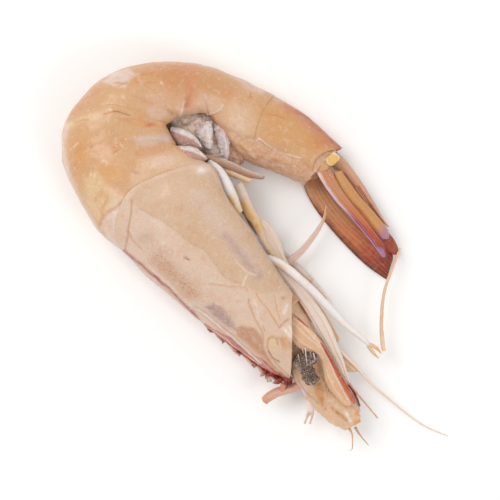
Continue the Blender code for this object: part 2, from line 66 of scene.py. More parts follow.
def linear(colour):
    """Display numbers from 0 to 255 as the linear values a shader takes."""
    part = np.array(colour, dtype=float) / 255.0
    return np.where(part <= 0.04045, part / 12.92, ((part + 0.055) / 1.055) ** 2.4)


print("cream in linear values", linear((226, 202, 181)).round(3))

# %% [markdown]
# The photograph looks straight down, so the camera hangs above the table with a long lens, which
# keeps the near and far sides of the prawn almost the same size. The frame is 125 mm wide at the
# prawn's middle plane.
# %% Camera
MIDDLE = 10.0
CAMERA_RISE = 295.0
PICTURE_CENTRE = (-2.0, 2.0)
camera_data = bpy.data.cameras.new("overhead")
camera_data.lens = 85.0
camera_data.sensor_width = 36.0
camera_data.clip_start = 0.01
camera = bpy.data.objects.new("overhead", camera_data)
camera.location = [value * MM for value in (*PICTURE_CENTRE, MIDDLE + CAMERA_RISE)]
bpy.context.scene.collection.objects.link(camera)
bpy.context.scene.camera = camera
print("camera at", [round(value, 4) for value in camera.location])

# %% [markdown]
# Shader maths reads best as plain sums. This class wraps one socket, and each operator adds the
# Math node it names. A plain number may come first in a sum, as in 0.45 + mask.
# %% Readings: numbers that vary over a surface
class Reading:
    def __init__(self, look, socket):
        self.look = look
        self.socket = socket

    def sum_with(self, operation, first, second):
        return self.look.node("ShaderNodeMath", {"operation": operation}, {0: first, 1: second})

    def __add__(self, other):
        return self.sum_with("ADD", self, other)

    def __radd__(self, other):
        return self.sum_with("ADD", other, self)

    def __mul__(self, other):
        return self.sum_with("MULTIPLY", self, other)


print("readings take + and *")

# %% [markdown]
# A look is one material. Its node method adds any node: first the node's own settings, then the
# values or links of its sockets. What is the same all over a surface is set on the shader itself.
# %% Looks: materials built by small calls
class Look:
    def __init__(self, name, **constants):
        self.material = bpy.data.materials.new(name)
        self.material.use_nodes = True
        self.tree = self.material.node_tree
        self.shader = self.tree.nodes["Principled BSDF"]
        for socket, value in constants.items():
            self.shader.inputs[socket.replace("_", " ")].default_value = value

    def node(self, kind, settings, inputs, output=0):
        made = self.tree.nodes.new(kind)
        for name, value in settings.items():
            setattr(made, name, value)
        for name, value in inputs.items():
            self.feed(made.inputs[name], value)
        return Reading(self, made.outputs[output])

    def feed(self, socket, value):
        if isinstance(value, Reading):
            self.tree.links.new(value.socket, socket)
        else:
            socket.default_value = value

    def place(self):
        return self.node("ShaderNodeTexCoord", {}, {}, "Object")

    def painted(self, name):
        return self.node("ShaderNodeAttribute", {"attribute_name": name}, {}, "Color")

    def measured(self, name):
        return self.node("ShaderNodeAttribute", {"attribute_name": name}, {}, "Fac")

    def cloud(self, size, detail=3.0, rough=0.55):
        """Soft noise from 0 to 1 with blots of a size in millimetres."""
        inputs = {"Vector": self.place(), "Scale": 1.0 / (size * MM), "Detail": detail,
                  "Roughness": rough}
        return self.node("ShaderNodeTexNoise", {}, inputs, 0)

    def step(self, value, low, high):
        """0 below low, 1 above high and eased between."""
        settings = {"interpolation_type": "SMOOTHSTEP"}
        inputs = {"Value": value, "From Min": low, "From Max": high}
        return self.node("ShaderNodeMapRange", settings, inputs, 0)

    def mix(self, first, second, factor, blend="MIX"):
        settings = {"data_type": "RGBA", "blend_type": blend}
        return self.node("ShaderNodeMix", settings, {0: factor, 6: first, 7: second}, 2)

    def tint(self, colour, shade, factor):
        """A colour mixed with a shade, given as display numbers."""
        return self.mix(colour, (*linear(shade), 1.0), factor)

    def bump(self, height, depth, before=None):
        """A bump from a height of 0 to 1, with the depth of its full range in millimetres."""
        inputs = {"Height": height, "Strength": 1.0, "Distance": depth * MM}
        if before is not None:
            inputs["Normal"] = before
        return self.node("ShaderNodeBump", {}, inputs, 0)


print("looks take node, cloud, step, mix, tint and bump")

# %% [markdown]
# Moist food shares most of its finish: blotches of a warmer and a paler tone, fine grain, a thin
# wet film whose shine breaks up, and light that goes a little way in. One function builds that,
# over the colours painted on each piece, and its numbers make it smoother or coarser.
# %% A moist finish
def moist_look(name, blotch, grain, rough, wrinkle, inward, coat=0.3):
    look = Look(name, Coat_Weight=coat, Coat_Roughness=0.14, IOR=1.4,
                Subsurface_Weight=inward, Subsurface_Scale=0.0007)
    look.shader.inputs["Subsurface Radius"].default_value = (1.0, 0.55, 0.35)
    broad = look.cloud(3.6, 4.0)
    middle = look.cloud(1.3, 4.0, 0.6)
    fine = look.cloud(0.42, 4.0, 0.7)
    colour = look.painted("paint")
    colour = look.tint(colour, (204, 130, 80), look.step(broad, 0.48, 0.8) * blotch)
    colour = look.tint(colour, (236, 220, 208), look.step(middle, 0.52, 0.8) * blotch)
    colour = look.tint(colour, (188, 138, 112), look.step(look.cloud(0.9, 5.0, 0.7), 0.52, 0.8) * blotch)
    colour = look.mix(colour, fine * (2.0 * grain) + (1.0 - grain), 1.0, "MULTIPLY")
    crumbs = look.step(look.cloud(0.5, 4.0, 0.8), 0.54, 0.6) * look.measured("speck")
    colour = look.tint(colour, (138, 82, 62), crumbs * 0.55)
    scuffs = look.step(look.cloud(0.8, 5.0, 0.75), 0.63, 0.67) * look.step(broad, 0.5, 0.62)
    colour = look.tint(colour, (242, 230, 218), scuffs * 0.55)
    look.feed(look.shader.inputs["Base Color"], colour)
    look.feed(look.shader.inputs["Roughness"], look.cloud(1.2, 3.0) * 0.3 + (rough - 0.15))
    folds = look.cloud(0.9, 3.0, 0.6) * (0.45 + look.measured("wrinkle") * 1.6)
    low = look.bump(folds, wrinkle)
    look.feed(look.shader.inputs["Normal"], look.bump(fine, wrinkle * 0.35, low))
    return look


shell_look = moist_look("shell_moist", 0.3, 0.2, 0.38, 0.14, 0.2)
flesh_look = moist_look("flesh_moist", 0.4, 0.24, 0.42, 0.24, 0.25)
pale_look = moist_look("leg_moist", 0.14, 0.12, 0.36, 0.1, 0.25)
thin_look = moist_look("feeler_dry", 0.14, 0.12, 0.45, 0.05, 0.1, 0.1)
print("moist looks", [look.material.name for look in (shell_look, flesh_look, pale_look, thin_look)])

# %% [markdown]
# Each cross-section of a piece is one row: its two edges as seen from above, its mid height and
# half its thickness, all in millimetres. The body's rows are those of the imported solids. They run
# from the eyes, round the curl, to the root of the tail fan.
# %% The body's rows
BODY = np.array([
    (18.5, -41.0, 25.5, -36.8, 7.3, 3.0),
    (15.5, -37.5, 24.0, -32.5, 7.7, 4.0),
    (11.5, -33.8, 22.3, -28.0, 8.0, 5.0),
    (8.8, -30.8, 20.8, -23.0, 8.5, 6.2),
    (2.5, -28.0, 15.5, -14.3, 9.1, 7.8),
    (-5.8, -22.0, 8.5, -8.0, 9.7, 9.3),
    (-14.5, -15.3, 3.0, -0.3, 10.1, 10.4),
    (-22.0, -9.0, -2.0, 7.3, 10.7, 11.0),
    (-28.8, -3.5, -7.5, 14.8, 10.7, 11.0),
    (-33.5, 1.5, -11.0, 22.8, 10.7, 10.8),
    (-40.0, 7.0, -15.8, 24.5, 10.4, 10.5),
    (-47.8, 20.8, -19.5, 27.3, 10.1, 10.2),
    (-49.0, 27.5, -21.5, 29.5, 9.7, 10.0),
    (-48.0, 34.0, -22.8, 32.3, 9.7, 10.0),
    (-43.3, 41.0, -21.5, 34.0, 9.4, 9.7),
    (-36.5, 46.3, -20.0, 34.8, 9.0, 9.3),
    (-26.5, 49.0, -16.3, 35.3, 8.5, 8.8),
    (-15.3, 48.8, -12.8, 35.0, 7.7, 8.0),
    (-5.8, 45.8, -9.0, 29.5, 7.0, 7.3),
    (3.0, 41.5, -3.0, 24.3, 6.4, 6.8),
    (12.0, 36.3, 3.5, 21.8, 5.8, 6.2),
    (21.0, 28.3, 12.0, 18.5, 4.9, 5.2),
])
print("body rows", len(BODY))

# %% [markdown]
# Rows are blended on a smooth curve, the same one the solids use, so a finer mesh made from
# these rows passes through the solid's own surface. All of it works on whole arrays of vertices.
# %% Blending rows
def blend(rows, place):
    """Rows blended at an array of places, where 0 is the first row and 1 the second."""
    rows = np.asarray(rows, dtype=float)
    last = len(rows) - 1
    place = np.asarray(place, dtype=float)
    index = np.clip(np.floor(place).astype(int), 0, last - 1)
    step = (place - index)[:, None]
    before = rows[np.maximum(index - 1, 0)]
    start = rows[index]
    end = rows[index + 1]
    after = rows[np.minimum(index + 2, last)]
    bend = 2.0 * before - 5.0 * start + 4.0 * end - after
    twist = 3.0 * start - before - 3.0 * end + after
    return 0.5 * (2.0 * start + (end - before) * step + bend * step ** 2 + twist * step ** 3)


def section_points(rows, place, across, up):
    """Places in sections: across is 1 at the first edge, up is 1 at the upper side."""
    row = blend(rows, place)
    centre = (row[:, 0:2] + row[:, 2:4]) / 2.0
    reach = (row[:, 0:2] - row[:, 2:4]) / 2.0
    flat = centre + reach * across[:, None]
    return np.column_stack((flat, row[:, 4] + row[:, 5] * up))


def smooth(value):
    """An eased step from 0 to 1."""
    value = np.clip(value, 0.0, 1.0)
    return value * value * (3.0 - 2.0 * value)


def band(value, low, high, soft=0.06):
    """1 between two values, eased on both sides."""
    return smooth((value - low) / soft + 0.5) * smooth((high - value) / soft + 0.5)


print("back edge at place 9.5:", section_points(BODY, np.array([9.5]), np.ones(1), np.zeros(1)).round(1))

# %% [markdown]
# The colours of a prawn don't repeat: each blotch, fold and groove has its place. They are
# painted on the vertices, as strokes, spots and patches whose places were traced on a grid of
# quarter millimetres, with x to the right and y down, as seen from above. The same
# strokes can also raise or press in the surface. Wavering the grid with noise, and every mask's
# strength too, keeps the edges natural.
# %% A canvas for one piece
TRACE_ORIGIN = 258.0
TRACE_STEP = 0.25


def traced(points):
    """Where points in millimetres show from above, on the traced grid."""
    spread = CAMERA_RISE / (CAMERA_RISE + MIDDLE - points[:, 2])
    centre = np.array(PICTURE_CENTRE)
    flat = centre + (points[:, 0:2] - centre) * spread[:, None]
    return np.column_stack((TRACE_ORIGIN + flat[:, 0] / TRACE_STEP, TRACE_ORIGIN - flat[:, 1] / TRACE_STEP))


def waver(points, size, seed):
    """Noise from about -1 to 1 at each point, with waves of a size in millimetres."""
    shift = Vector((seed * 7.3, seed * 3.1, seed * 5.7))
    return np.array([noise.noise(Vector(point) / size + shift) for point in points])


class Canvas:
    """Colour, height, speckles and wrinkles for every vertex of a piece."""

    def __init__(self, points, base, shake=1.0):
        self.points = points
        self.at = traced(points)
        self.at[:, 0] += shake * waver(points, 2.0, 1)
        self.at[:, 1] += shake * waver(points, 2.0, 2)
        self.colour = np.tile(linear(base), (len(points), 1))
        self.height = np.zeros(len(points))
        self.speck = np.zeros(len(points))
        self.wrinkle = np.zeros(len(points))
        self.uneven = 0.88 + 0.34 * waver(points, 1.0, 3)

    def lay(self, mask, colour=None, strength=1.0, height=0.0):
        if colour is not None:
            share = np.clip(mask * strength * self.uneven, 0.0, 1.0)[:, None]
            self.colour = self.colour * (1.0 - share) + linear(colour) * share
        self.height += mask * height
        return mask

    def distance(self, line):
        best = np.full(len(self.at), 1e9)
        for start, end in zip(line, line[1:]):
            run = np.subtract(end, start).astype(float)
            part = np.clip((self.at - start) @ run / max(run @ run, 1e-9), 0.0, 1.0)
            best = np.minimum(best, np.linalg.norm(self.at - start - part[:, None] * run, axis=1))
        return best

    def stroke(self, line, width, colour=None, strength=1.0, height=0.0):
        fine = line
        if len(line) > 2:
            fine = blend(line, np.linspace(0.0, len(line) - 1.0, 4 * len(line)))
        return self.lay(np.exp(-(self.distance(fine) / width) ** 2), colour, strength, height)

    def strokes(self, lines, width, colour=None, strength=1.0, height=0.0):
        for line in lines:
            self.stroke(line, width, colour, strength, height)

    def spot(self, centre, radii, colour=None, strength=1.0, height=0.0, turn=0.0):
        off = self.at - centre
        cos, sin = math.cos(math.radians(turn)), math.sin(math.radians(turn))
        along = (off[:, 0] * cos + off[:, 1] * sin) / radii[0]
        over = (off[:, 1] * cos - off[:, 0] * sin) / radii[1]
        return self.lay(np.exp(-(along ** 2 + over ** 2)), colour, strength, height)

    def patch(self, outline, soft, colour=None, strength=1.0, height=0.0):
        inside = np.zeros(len(self.at), dtype=bool)
        x, y = self.at[:, 0], self.at[:, 1]
        closed = list(outline) + [outline[0]]
        for (x0, y0), (x1, y1) in zip(closed, closed[1:]):
            if y0 != y1:
                crosses = ((y0 > y) != (y1 > y)) & (x < (x1 - x0) * (y - y0) / (y1 - y0) + x0)
                inside ^= crosses
        away = self.distance(closed)
        signed = np.where(inside, away, -away)
        return self.lay(smooth(signed / (2.0 * soft) + 0.5), colour, strength, height)


print("one traced step is", TRACE_STEP, "mm")

# %% [markdown]
# Every piece is finished in the same way: the mesh operator's vertices are moved to their
# places, the normals turned outwards, the painted heights added along them, and the painted
# colours stored as attributes. Then the piece is parented to the body it moves with, and the
# solids of the model it stands for are hidden.
# %% Finishing a piece
LOWEST = 0.03
made_pieces = []


def pushed_out(net, points, heights, heart):
    """Points moved along their outward normals, in millimetres, and kept just above the floor."""
    for vert, point in zip(net.verts, points):
        vert.co = point
    bmesh.ops.recalc_face_normals(net, faces=net.faces)
    net.normal_update()
    normals = np.array([vert.normal[:] for vert in net.verts])
    if heart is None:
        turned_in = net.calc_volume(signed=True) < 0.0
    else:
        turned_in = float(np.sum(normals * (points - heart))) < 0.0
    if turned_in:
        bmesh.ops.reverse_faces(net, faces=net.faces)
        normals = -normals
    moved = points + normals * heights[:, None]
    moved[:, 2] = np.maximum(moved[:, 2], LOWEST)
    return moved


def add_piece(name, net, canvas, look, stands_for=(), heart=None, wall=0.0):
    moved = pushed_out(net, canvas.points, canvas.height, heart)
    for vert, point in zip(net.verts, moved):
        vert.co = Vector(point) * MM
    mesh = bpy.data.meshes.new(name)
    net.to_mesh(mesh)
    net.free()
    mesh.shade_smooth()
    mesh.materials.append(look.material)
    paint = mesh.attributes.new("paint", "FLOAT_COLOR", "POINT")
    with_alpha = np.column_stack((np.clip(canvas.colour, 0.0, 1.0), np.ones(len(moved))))
    paint.data.foreach_set("color", with_alpha.ravel())
    for mask in ("speck", "wrinkle"):
        attribute = mesh.attributes.new(mask, "FLOAT", "POINT")
        attribute.data.foreach_set("value", np.clip(getattr(canvas, mask), 0.0, 1.0))
    piece = bpy.data.objects.new(name, mesh)
    bpy.context.scene.collection.objects.link(piece)
    if wall:
        thick = piece.modifiers.new("wall", "SOLIDIFY")
        thick.thickness = wall * MM
        thick.offset = -1.0
    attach(piece, "root")
    if stands_for:
        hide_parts(*stands_for)
    made_pieces.append(name)
    return piece


print("pieces get colour, height, speckles and wrinkles")

# %% [markdown]
# The colours of the abdomen, from the photograph: golden orange meat that shines through the
# plates, whitish where a plate stands off, painted shade of darker orange in the folds between the
# side plates and along parts of the back edge, small orange marks at the hinges, and a dark red line
# along the back near the tail.
# %% Painting the abdomen
def paint_abdomen(art):
    art.spot((80, 152), (7, 18), (211, 149, 84), 0.8)
    art.spot((112, 173), (11, 9), (213, 156, 90), 0.75)
    art.spot((175, 70), (34, 13), (199, 135, 88), 0.75)
    art.spot((172, 80), (9, 13), (203, 141, 90), 0.8)
    art.spot((205, 88), (22, 14), (201, 139, 90), 0.6)
    art.spot((228, 94), (9, 8), (206, 142, 94), 0.85)
    # These two strokes along the back outline are painted shade: the edge is darkened to a deeper orange
    # where it turns away.
    art.stroke([(70, 115), (84, 100), (97, 90)], 5.0, (205, 145, 105), 0.85)
    art.stroke([(136, 63), (158, 62.5), (180, 62)], 3.5, (205, 148, 108), 0.7)
    art.stroke([(150, 62), (183, 61.5), (205, 65), (230, 73)], 2.4, (216, 170, 142), 0.6)
    art.patch([(102.8, 82.2), (113.6, 72.2), (128.9, 68.4), (136.5, 75.3), (125.8, 83), (125.8, 89),
               (112, 86)], 1.8, (222, 200, 188), 0.9)
    art.patch([(146.5, 107), (156, 106), (166, 109), (167, 117), (154, 118), (147, 113)], 2.5,
              (215, 180, 162), 0.75)
    art.patch([(132.7, 138), (150, 135), (168.7, 135), (168, 143), (150, 146.5), (134, 146)], 2.5,
              (206, 180, 166), 0.85)
    art.patch([(151.8, 158), (163, 155.6), (174.8, 156), (174, 164), (160, 167), (152, 166)], 2.5,
              (222, 196, 180), 0.8)
    art.spot((152, 165), (8, 3), (232, 216, 196), 0.7, 0.05)
    art.patch([(84, 180), (97, 172), (108, 186), (122, 199), (112, 212), (100, 224), (87, 204)], 4,
              (228, 198, 156), 0.65)
    art.patch([(99, 226), (105, 215), (121, 204), (129, 199), (131, 215), (127, 235), (125, 252),
               (112, 246)], 2, (222, 197, 181), 0.9)
    art.spot((119, 214), (9, 13), (233, 218, 208), 0.7)
    art.patch([(132, 198), (140, 186), (178, 172), (212, 164), (190, 150), (150, 152), (132, 172)], 6,
              (222, 190, 162), 0.6)
    art.patch([(176, 100), (200, 90), (222, 98), (222, 108), (209, 115), (180, 119)], 4,
              (218, 182, 158), 0.7)
    art.spot((158, 100), (14, 9), (218, 178, 156), 0.6)
    art.spot((238, 122), (15, 21), (225, 195, 172), 0.85)
    art.patch([(232, 74), (252, 80), (268, 89), (262, 95), (244, 88)], 2.5, (218, 188, 172), 0.8)
    art.patch([(256, 100), (292, 108), (330, 146), (322, 152), (300, 152), (262, 138)], 8,
              (210, 152, 94), 0.6)
    art.spot((318, 143), (12, 8), (203, 134, 78), 0.7)
    paint_folds_and_their_shade(art)
    paint_marks(art)
    paint_back_line(art)


def paint_folds_and_their_shade(art):
    # Painted shade: the folds where one side plate slips under the next are darkened to a deeper orange and
    # pressed in.
    art.patch([(119, 120), (132, 119), (148, 120), (164.8, 126.5), (154, 127.3), (136, 126)], 2.2,
              (215, 155, 105), 0.85, -0.3)
    art.spot((151, 125), (4, 2), (190, 105, 70), 0.85, -0.1)
    art.patch([(135, 150), (150, 147.2), (169.4, 148), (160, 153), (146, 156.4), (136, 155)], 2.2,
              (208, 155, 115), 0.85, -0.3)
    art.patch([(133.5, 96.7), (142, 97), (158.7, 103), (158, 106), (146, 104)], 2.6, (208, 155, 122),
              0.8, -0.2)
    art.stroke([(186, 70), (191, 88), (188, 106)], 6.5, (206, 142, 100), 0.8, -0.2)
    art.stroke([(188, 98), (187, 106)], 3, (186, 104, 72), 0.7, -0.15)
    art.stroke([(99, 226), (105, 215), (121, 204), (128, 198)], 1.0, (196, 130, 80), 0.85, -0.15)
    for rim in ([(179, 119), (195, 117), (209, 114.5), (219, 110), (223, 105)],
                [(214, 125), (221, 129), (228, 133), (240, 139), (252, 143), (260, 139)],
                [(260, 139), (270, 147), (284, 154), (300, 158)]):
        art.stroke(rim, 1.0, (234, 216, 200), 0.75, 0.12)
        # A darker line just below each pale rim is painted shade under the plate's edge.
        art.stroke([(x, y + 2.2) for x, y in rim], 1.0, (190, 146, 118), 0.45, -0.1)
    art.stroke([(67, 126), (79, 121), (97, 116)], 3.0, (224, 198, 162), 0.7)
    art.stroke([(108, 190), (116, 193), (122, 199)], 3, (232, 208, 178), 0.6, 0.06)
    art.stroke([(140, 139), (155, 137), (168, 139)], 3.5, (212, 186, 172), 0.6, 0.1)
    art.strokes([[(180, 127), (174, 127)], [(168.7, 110), (173.3, 113.6)]], 1.4, (176, 122, 92), 0.7, -0.15)
    art.stroke([(185, 101), (179, 119)], 1.0, (236, 218, 202), 0.7, 0.12)
    art.wrinkle += art.patch([(84, 180), (97, 172), (124, 200), (112, 214), (100, 224)], 6)
    art.wrinkle += 0.6 * art.spot((240, 150), (30, 20))


def paint_marks(art):
    """Small orange squiggles, pale scratches and dark dots."""
    orange = [[(142, 75), (148, 74), (153.5, 73)], [(116, 83.5), (120, 82.6), (123.5, 83.4)],
              [(105, 114), (109, 113.5), (113.6, 111.5)], [(119, 145.5), (120, 149), (115, 152), (114, 155)],
              [(75.5, 122.5), (80, 121), (88, 119.8)], [(118, 86), (126, 82)], [(268, 114), (284, 118)],
              [(166, 176), (182, 170), (198, 171)], [(101, 210), (108, 200)], [(94, 200), (103, 192)]]
    art.strokes(orange, 0.9, (205, 130, 80), 0.75, -0.1)
    for mark in ((138.8, 81.4), (124.3, 140), (115, 147), (128, 198), (196, 74), (251, 96), (213.5, 117.5)):
        art.spot(mark, (2.8, 2.0), (208, 126, 66), 0.7, -0.08, turn=-30)
        art.spot((mark[0] + 1.5, mark[1] - 0.8), (1.2, 0.8), (238, 206, 170), 0.7, 0.1)
    art.spot((150, 82.5), (6, 1.5), (205, 130, 80), 0.6)
    art.stroke([(113, 112), (121, 112.5), (130, 115)], 0.8, (150, 104, 70), 0.7, -0.1)
    art.strokes([[(130, 169.5), (136, 173)], [(136, 172), (140, 173.5)]], 0.9, (160, 122, 98), 0.6)
    art.spot((92, 147.5), (1.3, 1.3), (140, 100, 82), 0.9)
    art.stroke([(73, 147), (78, 143)], 0.7, (236, 214, 184), 0.7)
    for fleck in ((103, 161), (107, 163), (91, 174), (95, 175), (161.8, 83.3), (110, 109.7)):
        art.spot(fleck, (1.9, 1.1), (240, 220, 190), 0.75, 0.05, turn=fleck[0] * 7.0)


def paint_back_line(art):
    art.stroke([(125, 254), (105, 242), (90, 220), (76, 198), (67, 170), (63, 148), (66, 126)], 3.2,
               (224, 200, 186), 0.8)
    art.stroke([(290, 104), (303, 113), (318, 126), (340, 147)], 6.5, (186, 84, 48), 0.75)
    art.stroke([(300, 110), (316, 122), (342, 147)], 3.2, (154, 54, 46), 0.75)
    art.stroke([(232, 74), (252, 81.5), (268, 90.5)], 1.4, (138, 62, 58), 0.7)
    art.stroke([(270, 91), (284, 99), (303, 110), (316, 120), (330, 132), (343, 146)], 1.4,
               (70, 24, 26), 0.95)


print("the abdomen has its strokes")

# %% [markdown]
# Each ring of the abdomen is a thin plate bent round the meat like a saddle, whose side flaps
# hang past the belly. The rear edge of each slides over the front of the next, which lets the
# tail curl. A flat grid is bent into that shape: over the back a half round, then straighter
# walls down to the lower edges. Its front is tucked in, and it gets a real wall. The rears lie
# close, so that the joins hardly show, apart from two notches along the back.
# %% Bending a grid round the body
SHELL_REAR = (9.0, 1.1, 0.0)
RING_REARS = [(11.0, 0.8, 0.0), (13.0, 0.7, 0.0), (15.0, 0.2, 0.0), (17.0, 0.0, 0.0),
              (19.0, -0.14, 0.0), (21.0, -0.42, 0.0)]
NOTCHED_RINGS = (4, 5)
# How far each ring's lower edge reaches, at its front and its rear, as a share of the half depth.
RING_MARGINS = [(1.0, 1.03), (1.03, 1.04), (1.04, 1.04), (1.03, 0.92), (0.9, 0.46), (0.44, 0.42)]


def bent_plate(net, front, rear, margins, tuck, lip):
    """Points of a grid bent round the body between two curved ends, with how far along each is."""
    grid = np.array([vert.co[:] for vert in net.verts])
    along = (grid[:, 0] + 1.0) / 2.0
    angle = grid[:, 1] * math.pi
    margin = margins[0] + (margins[1] - margins[0]) * along
    margin = margin * (1.0 - 0.04 * np.abs(2.0 * along - 1.0) ** 3)
    side = np.clip(np.abs(angle) - math.pi / 2.0, 0.0, None)
    part = side / (math.pi / 2.0)
    across = np.where(side > 0.0, -margin * np.sin(side), np.cos(angle))
    height = np.where(side > 0.0, 1.0 - (0.12 + 0.36 * margin) * part ** 2, np.sin(np.abs(angle)))
    up = np.sign(angle) * height
    start = front[0] + front[1] * up * up + front[2] * across - tuck
    end = rear[0] + rear[1] * up * up + rear[2] * across + lip
    place = start + (end - start) * along
    return place, across, up, along, angle


def section_hearts(place):
    """The middle of the body at an array of places."""
    return section_points(BODY, place, np.zeros(len(place)), np.zeros(len(place)))


print("ring ends", RING_REARS)

# %% [markdown]
# The six rings, finer than a quarter of a millimetre's stroke needs, because the paint and the
# grooves live on their vertices. Their colours come from one shared set of strokes, so that a
# blotch runs on over a hinge as it does on the real prawn.
# %% The six rings
def build_ring(number, front, rear, margins):
    net = bmesh.new()
    bmesh.ops.create_grid(net, x_segments=62, y_segments=210, size=1.0)
    place, across, up, along, _ = bent_plate(net, front, rear, margins, 0.22, 0.13)
    size = 0.984 + 0.016 * smooth((along - 0.03) / 0.2) - 0.006 * smooth((along - 0.9) / 0.1)
    if number in NOTCHED_RINGS:
        size += 0.02 * smooth((across - 0.75) / 0.2) * smooth((along - 0.75) / 0.25)
    if number == len(RING_REARS):
        size += 0.016 * smooth((along - 0.85) / 0.15)
    points = section_points(BODY, place, across * size, up * size)
    art = Canvas(points, (209, 164, 121))
    paint_abdomen(art)
    art.height += 0.2 * waver(points, 5.0, number) + 0.07 * waver(points, 1.6, number + 9)
    name = f"ring_plate_{number}"
    return add_piece(name, net, art, shell_look, [f"abdomen_ring_{number}"],
                     section_hearts(place), 0.4)


ring_front = SHELL_REAR
for number, (ring_rear, margins) in enumerate(zip(RING_REARS, RING_MARGINS), start=1):
    build_ring(number, ring_front, ring_rear, margins)
    ring_front = ring_rear
print("rings", made_pieces)

# %% [markdown]
# The fore half of the prawn has marks that run over several pieces too: the dark red line along
# the back, the grooves beside the toothed crest with painted highlights along them, the cream back
# beside the tan gill cover with its grey shade, reddish-brown speckles, and a few other painted
# highlights.
# %% Painting the fore half
def paint_fore(art):
    art.patch([(126, 205), (140, 209), (164, 222), (189, 241), (207, 253), (223, 275), (242, 284),
               (256, 300), (268, 325), (262, 345), (240, 340), (198, 316), (150, 272), (122, 250)], 2.4,
              (217, 190, 171), 0.85)
    art.patch([(130, 200), (140, 186), (176, 172), (206, 166), (218, 182), (230, 208), (248, 228),
               (262, 250), (276, 268), (290, 290), (262, 294), (243, 284), (223, 275), (207, 253),
               (189, 241), (164, 222), (140, 209)], 1.6, (206, 173, 143), 0.9)
    art.stroke([(196, 196), (214, 215), (232, 240), (252, 268)], 9, (216, 194, 182), 0.6)
    art.stroke([(226, 236), (246, 262), (258, 276)], 5, (182, 152, 146), 0.75)
    art.spot((196, 240), (20, 12), (206, 168, 134), 0.7, turn=40)
    art.spot((228, 268), (12, 8), (208, 172, 138), 0.6, turn=40)
    art.spot((172, 190), (24, 12), (217, 186, 158), 0.6)
    art.stroke([(140, 209), (164, 222), (189, 241), (207, 253), (223, 275), (242, 284)], 0.9,
               (192, 154, 122), 0.6, -0.06)
    art.patch([(204, 306), (214, 303), (224, 309), (233, 322), (236, 330), (228, 327), (214, 316)], 2.4,
              (164, 134, 134), 0.8)
    art.patch([(235, 329), (242, 325.5), (255, 328), (262, 337.5), (263, 345), (266, 354), (272, 363.6),
               (279, 372), (272, 369), (262, 358), (248, 345), (238, 337)], 2.0, (184, 130, 92), 0.8)
    art.speck += art.stroke([(158, 258), (174, 276), (190, 292)], 9, (196, 148, 118), 0.65)
    art.speck += 0.7 * art.stroke([(205, 304), (221, 318), (240, 336)], 8)
    art.spot((146, 238), (8, 6), (170, 134, 116), 0.45)
    for ring in ((163, 249), (155, 243), (170, 252)):
        away = np.linalg.norm(art.at - ring, axis=1)
        art.lay(np.exp(-((away - 3.0) / 0.8) ** 2), (190, 150, 126), 0.4, -0.03)
    # A near-white raised spot, painted as a highlight.
    art.spot((202, 170), (6, 4), (236, 226, 220), 0.85, 0.3)
    paint_crest_lines(art)
    paint_shield_grooves(art)
    paint_eye_socket(art)


def paint_crest_lines(art):
    back = [(124, 251), (150, 272.5), (175, 295), (199, 320)]
    art.stroke(back, 3.4, (214, 178, 158), 0.6)
    art.stroke(back, 1.7, (152, 46, 42), 0.95, 0.1)
    art.stroke([(155, 273.5), (180, 297), (201, 317)], 0.5, (226, 186, 168), 0.7, 0.05)
    art.stroke([(150, 268), (176, 291), (199, 313)], 0.9, (234, 212, 196), 0.6, 0.08)
    art.patch([(205, 323), (213, 328), (222, 333), (230, 337.5), (238, 343), (246, 349.6), (255, 356),
               (262, 358.5), (268, 363.6), (276, 371), (287, 377), (294, 384), (290, 394),
               (262, 386), (240, 368), (222, 352), (204, 336)], 0.9, (166, 48, 36), 0.92)
    ridge = [(195, 309), (205, 314.5), (215, 323), (225, 331), (235, 340), (245, 349), (255, 358),
             (261, 363)]
    # The groove beside the crest is darker and pressed in, and the thin light line along it is a painted
    # highlight.
    art.stroke(ridge, 2.4, (150, 96, 84), 0.6, -0.2)
    art.stroke(ridge, 1.0, (240, 224, 214), 0.9, 0.3)
    # A painted highlight: the thin pale line inside the red band.
    art.stroke([(203, 325), (212, 329.5), (222, 335.5), (232.5, 345), (240.5, 351), (248, 356.5),
                (258, 364)], 0.7, (236, 190, 170), 0.8, 0.08)
    art.stroke([(248.6, 347), (255.3, 353.6), (262, 361.6), (272, 371.7)], 0.7, (226, 170, 152), 0.7)
    art.strokes([[(266, 357), (274, 366), (284, 376)], [(270, 357), (279, 367), (288, 376)]], 0.8,
                (186, 130, 96), 0.7, -0.12)


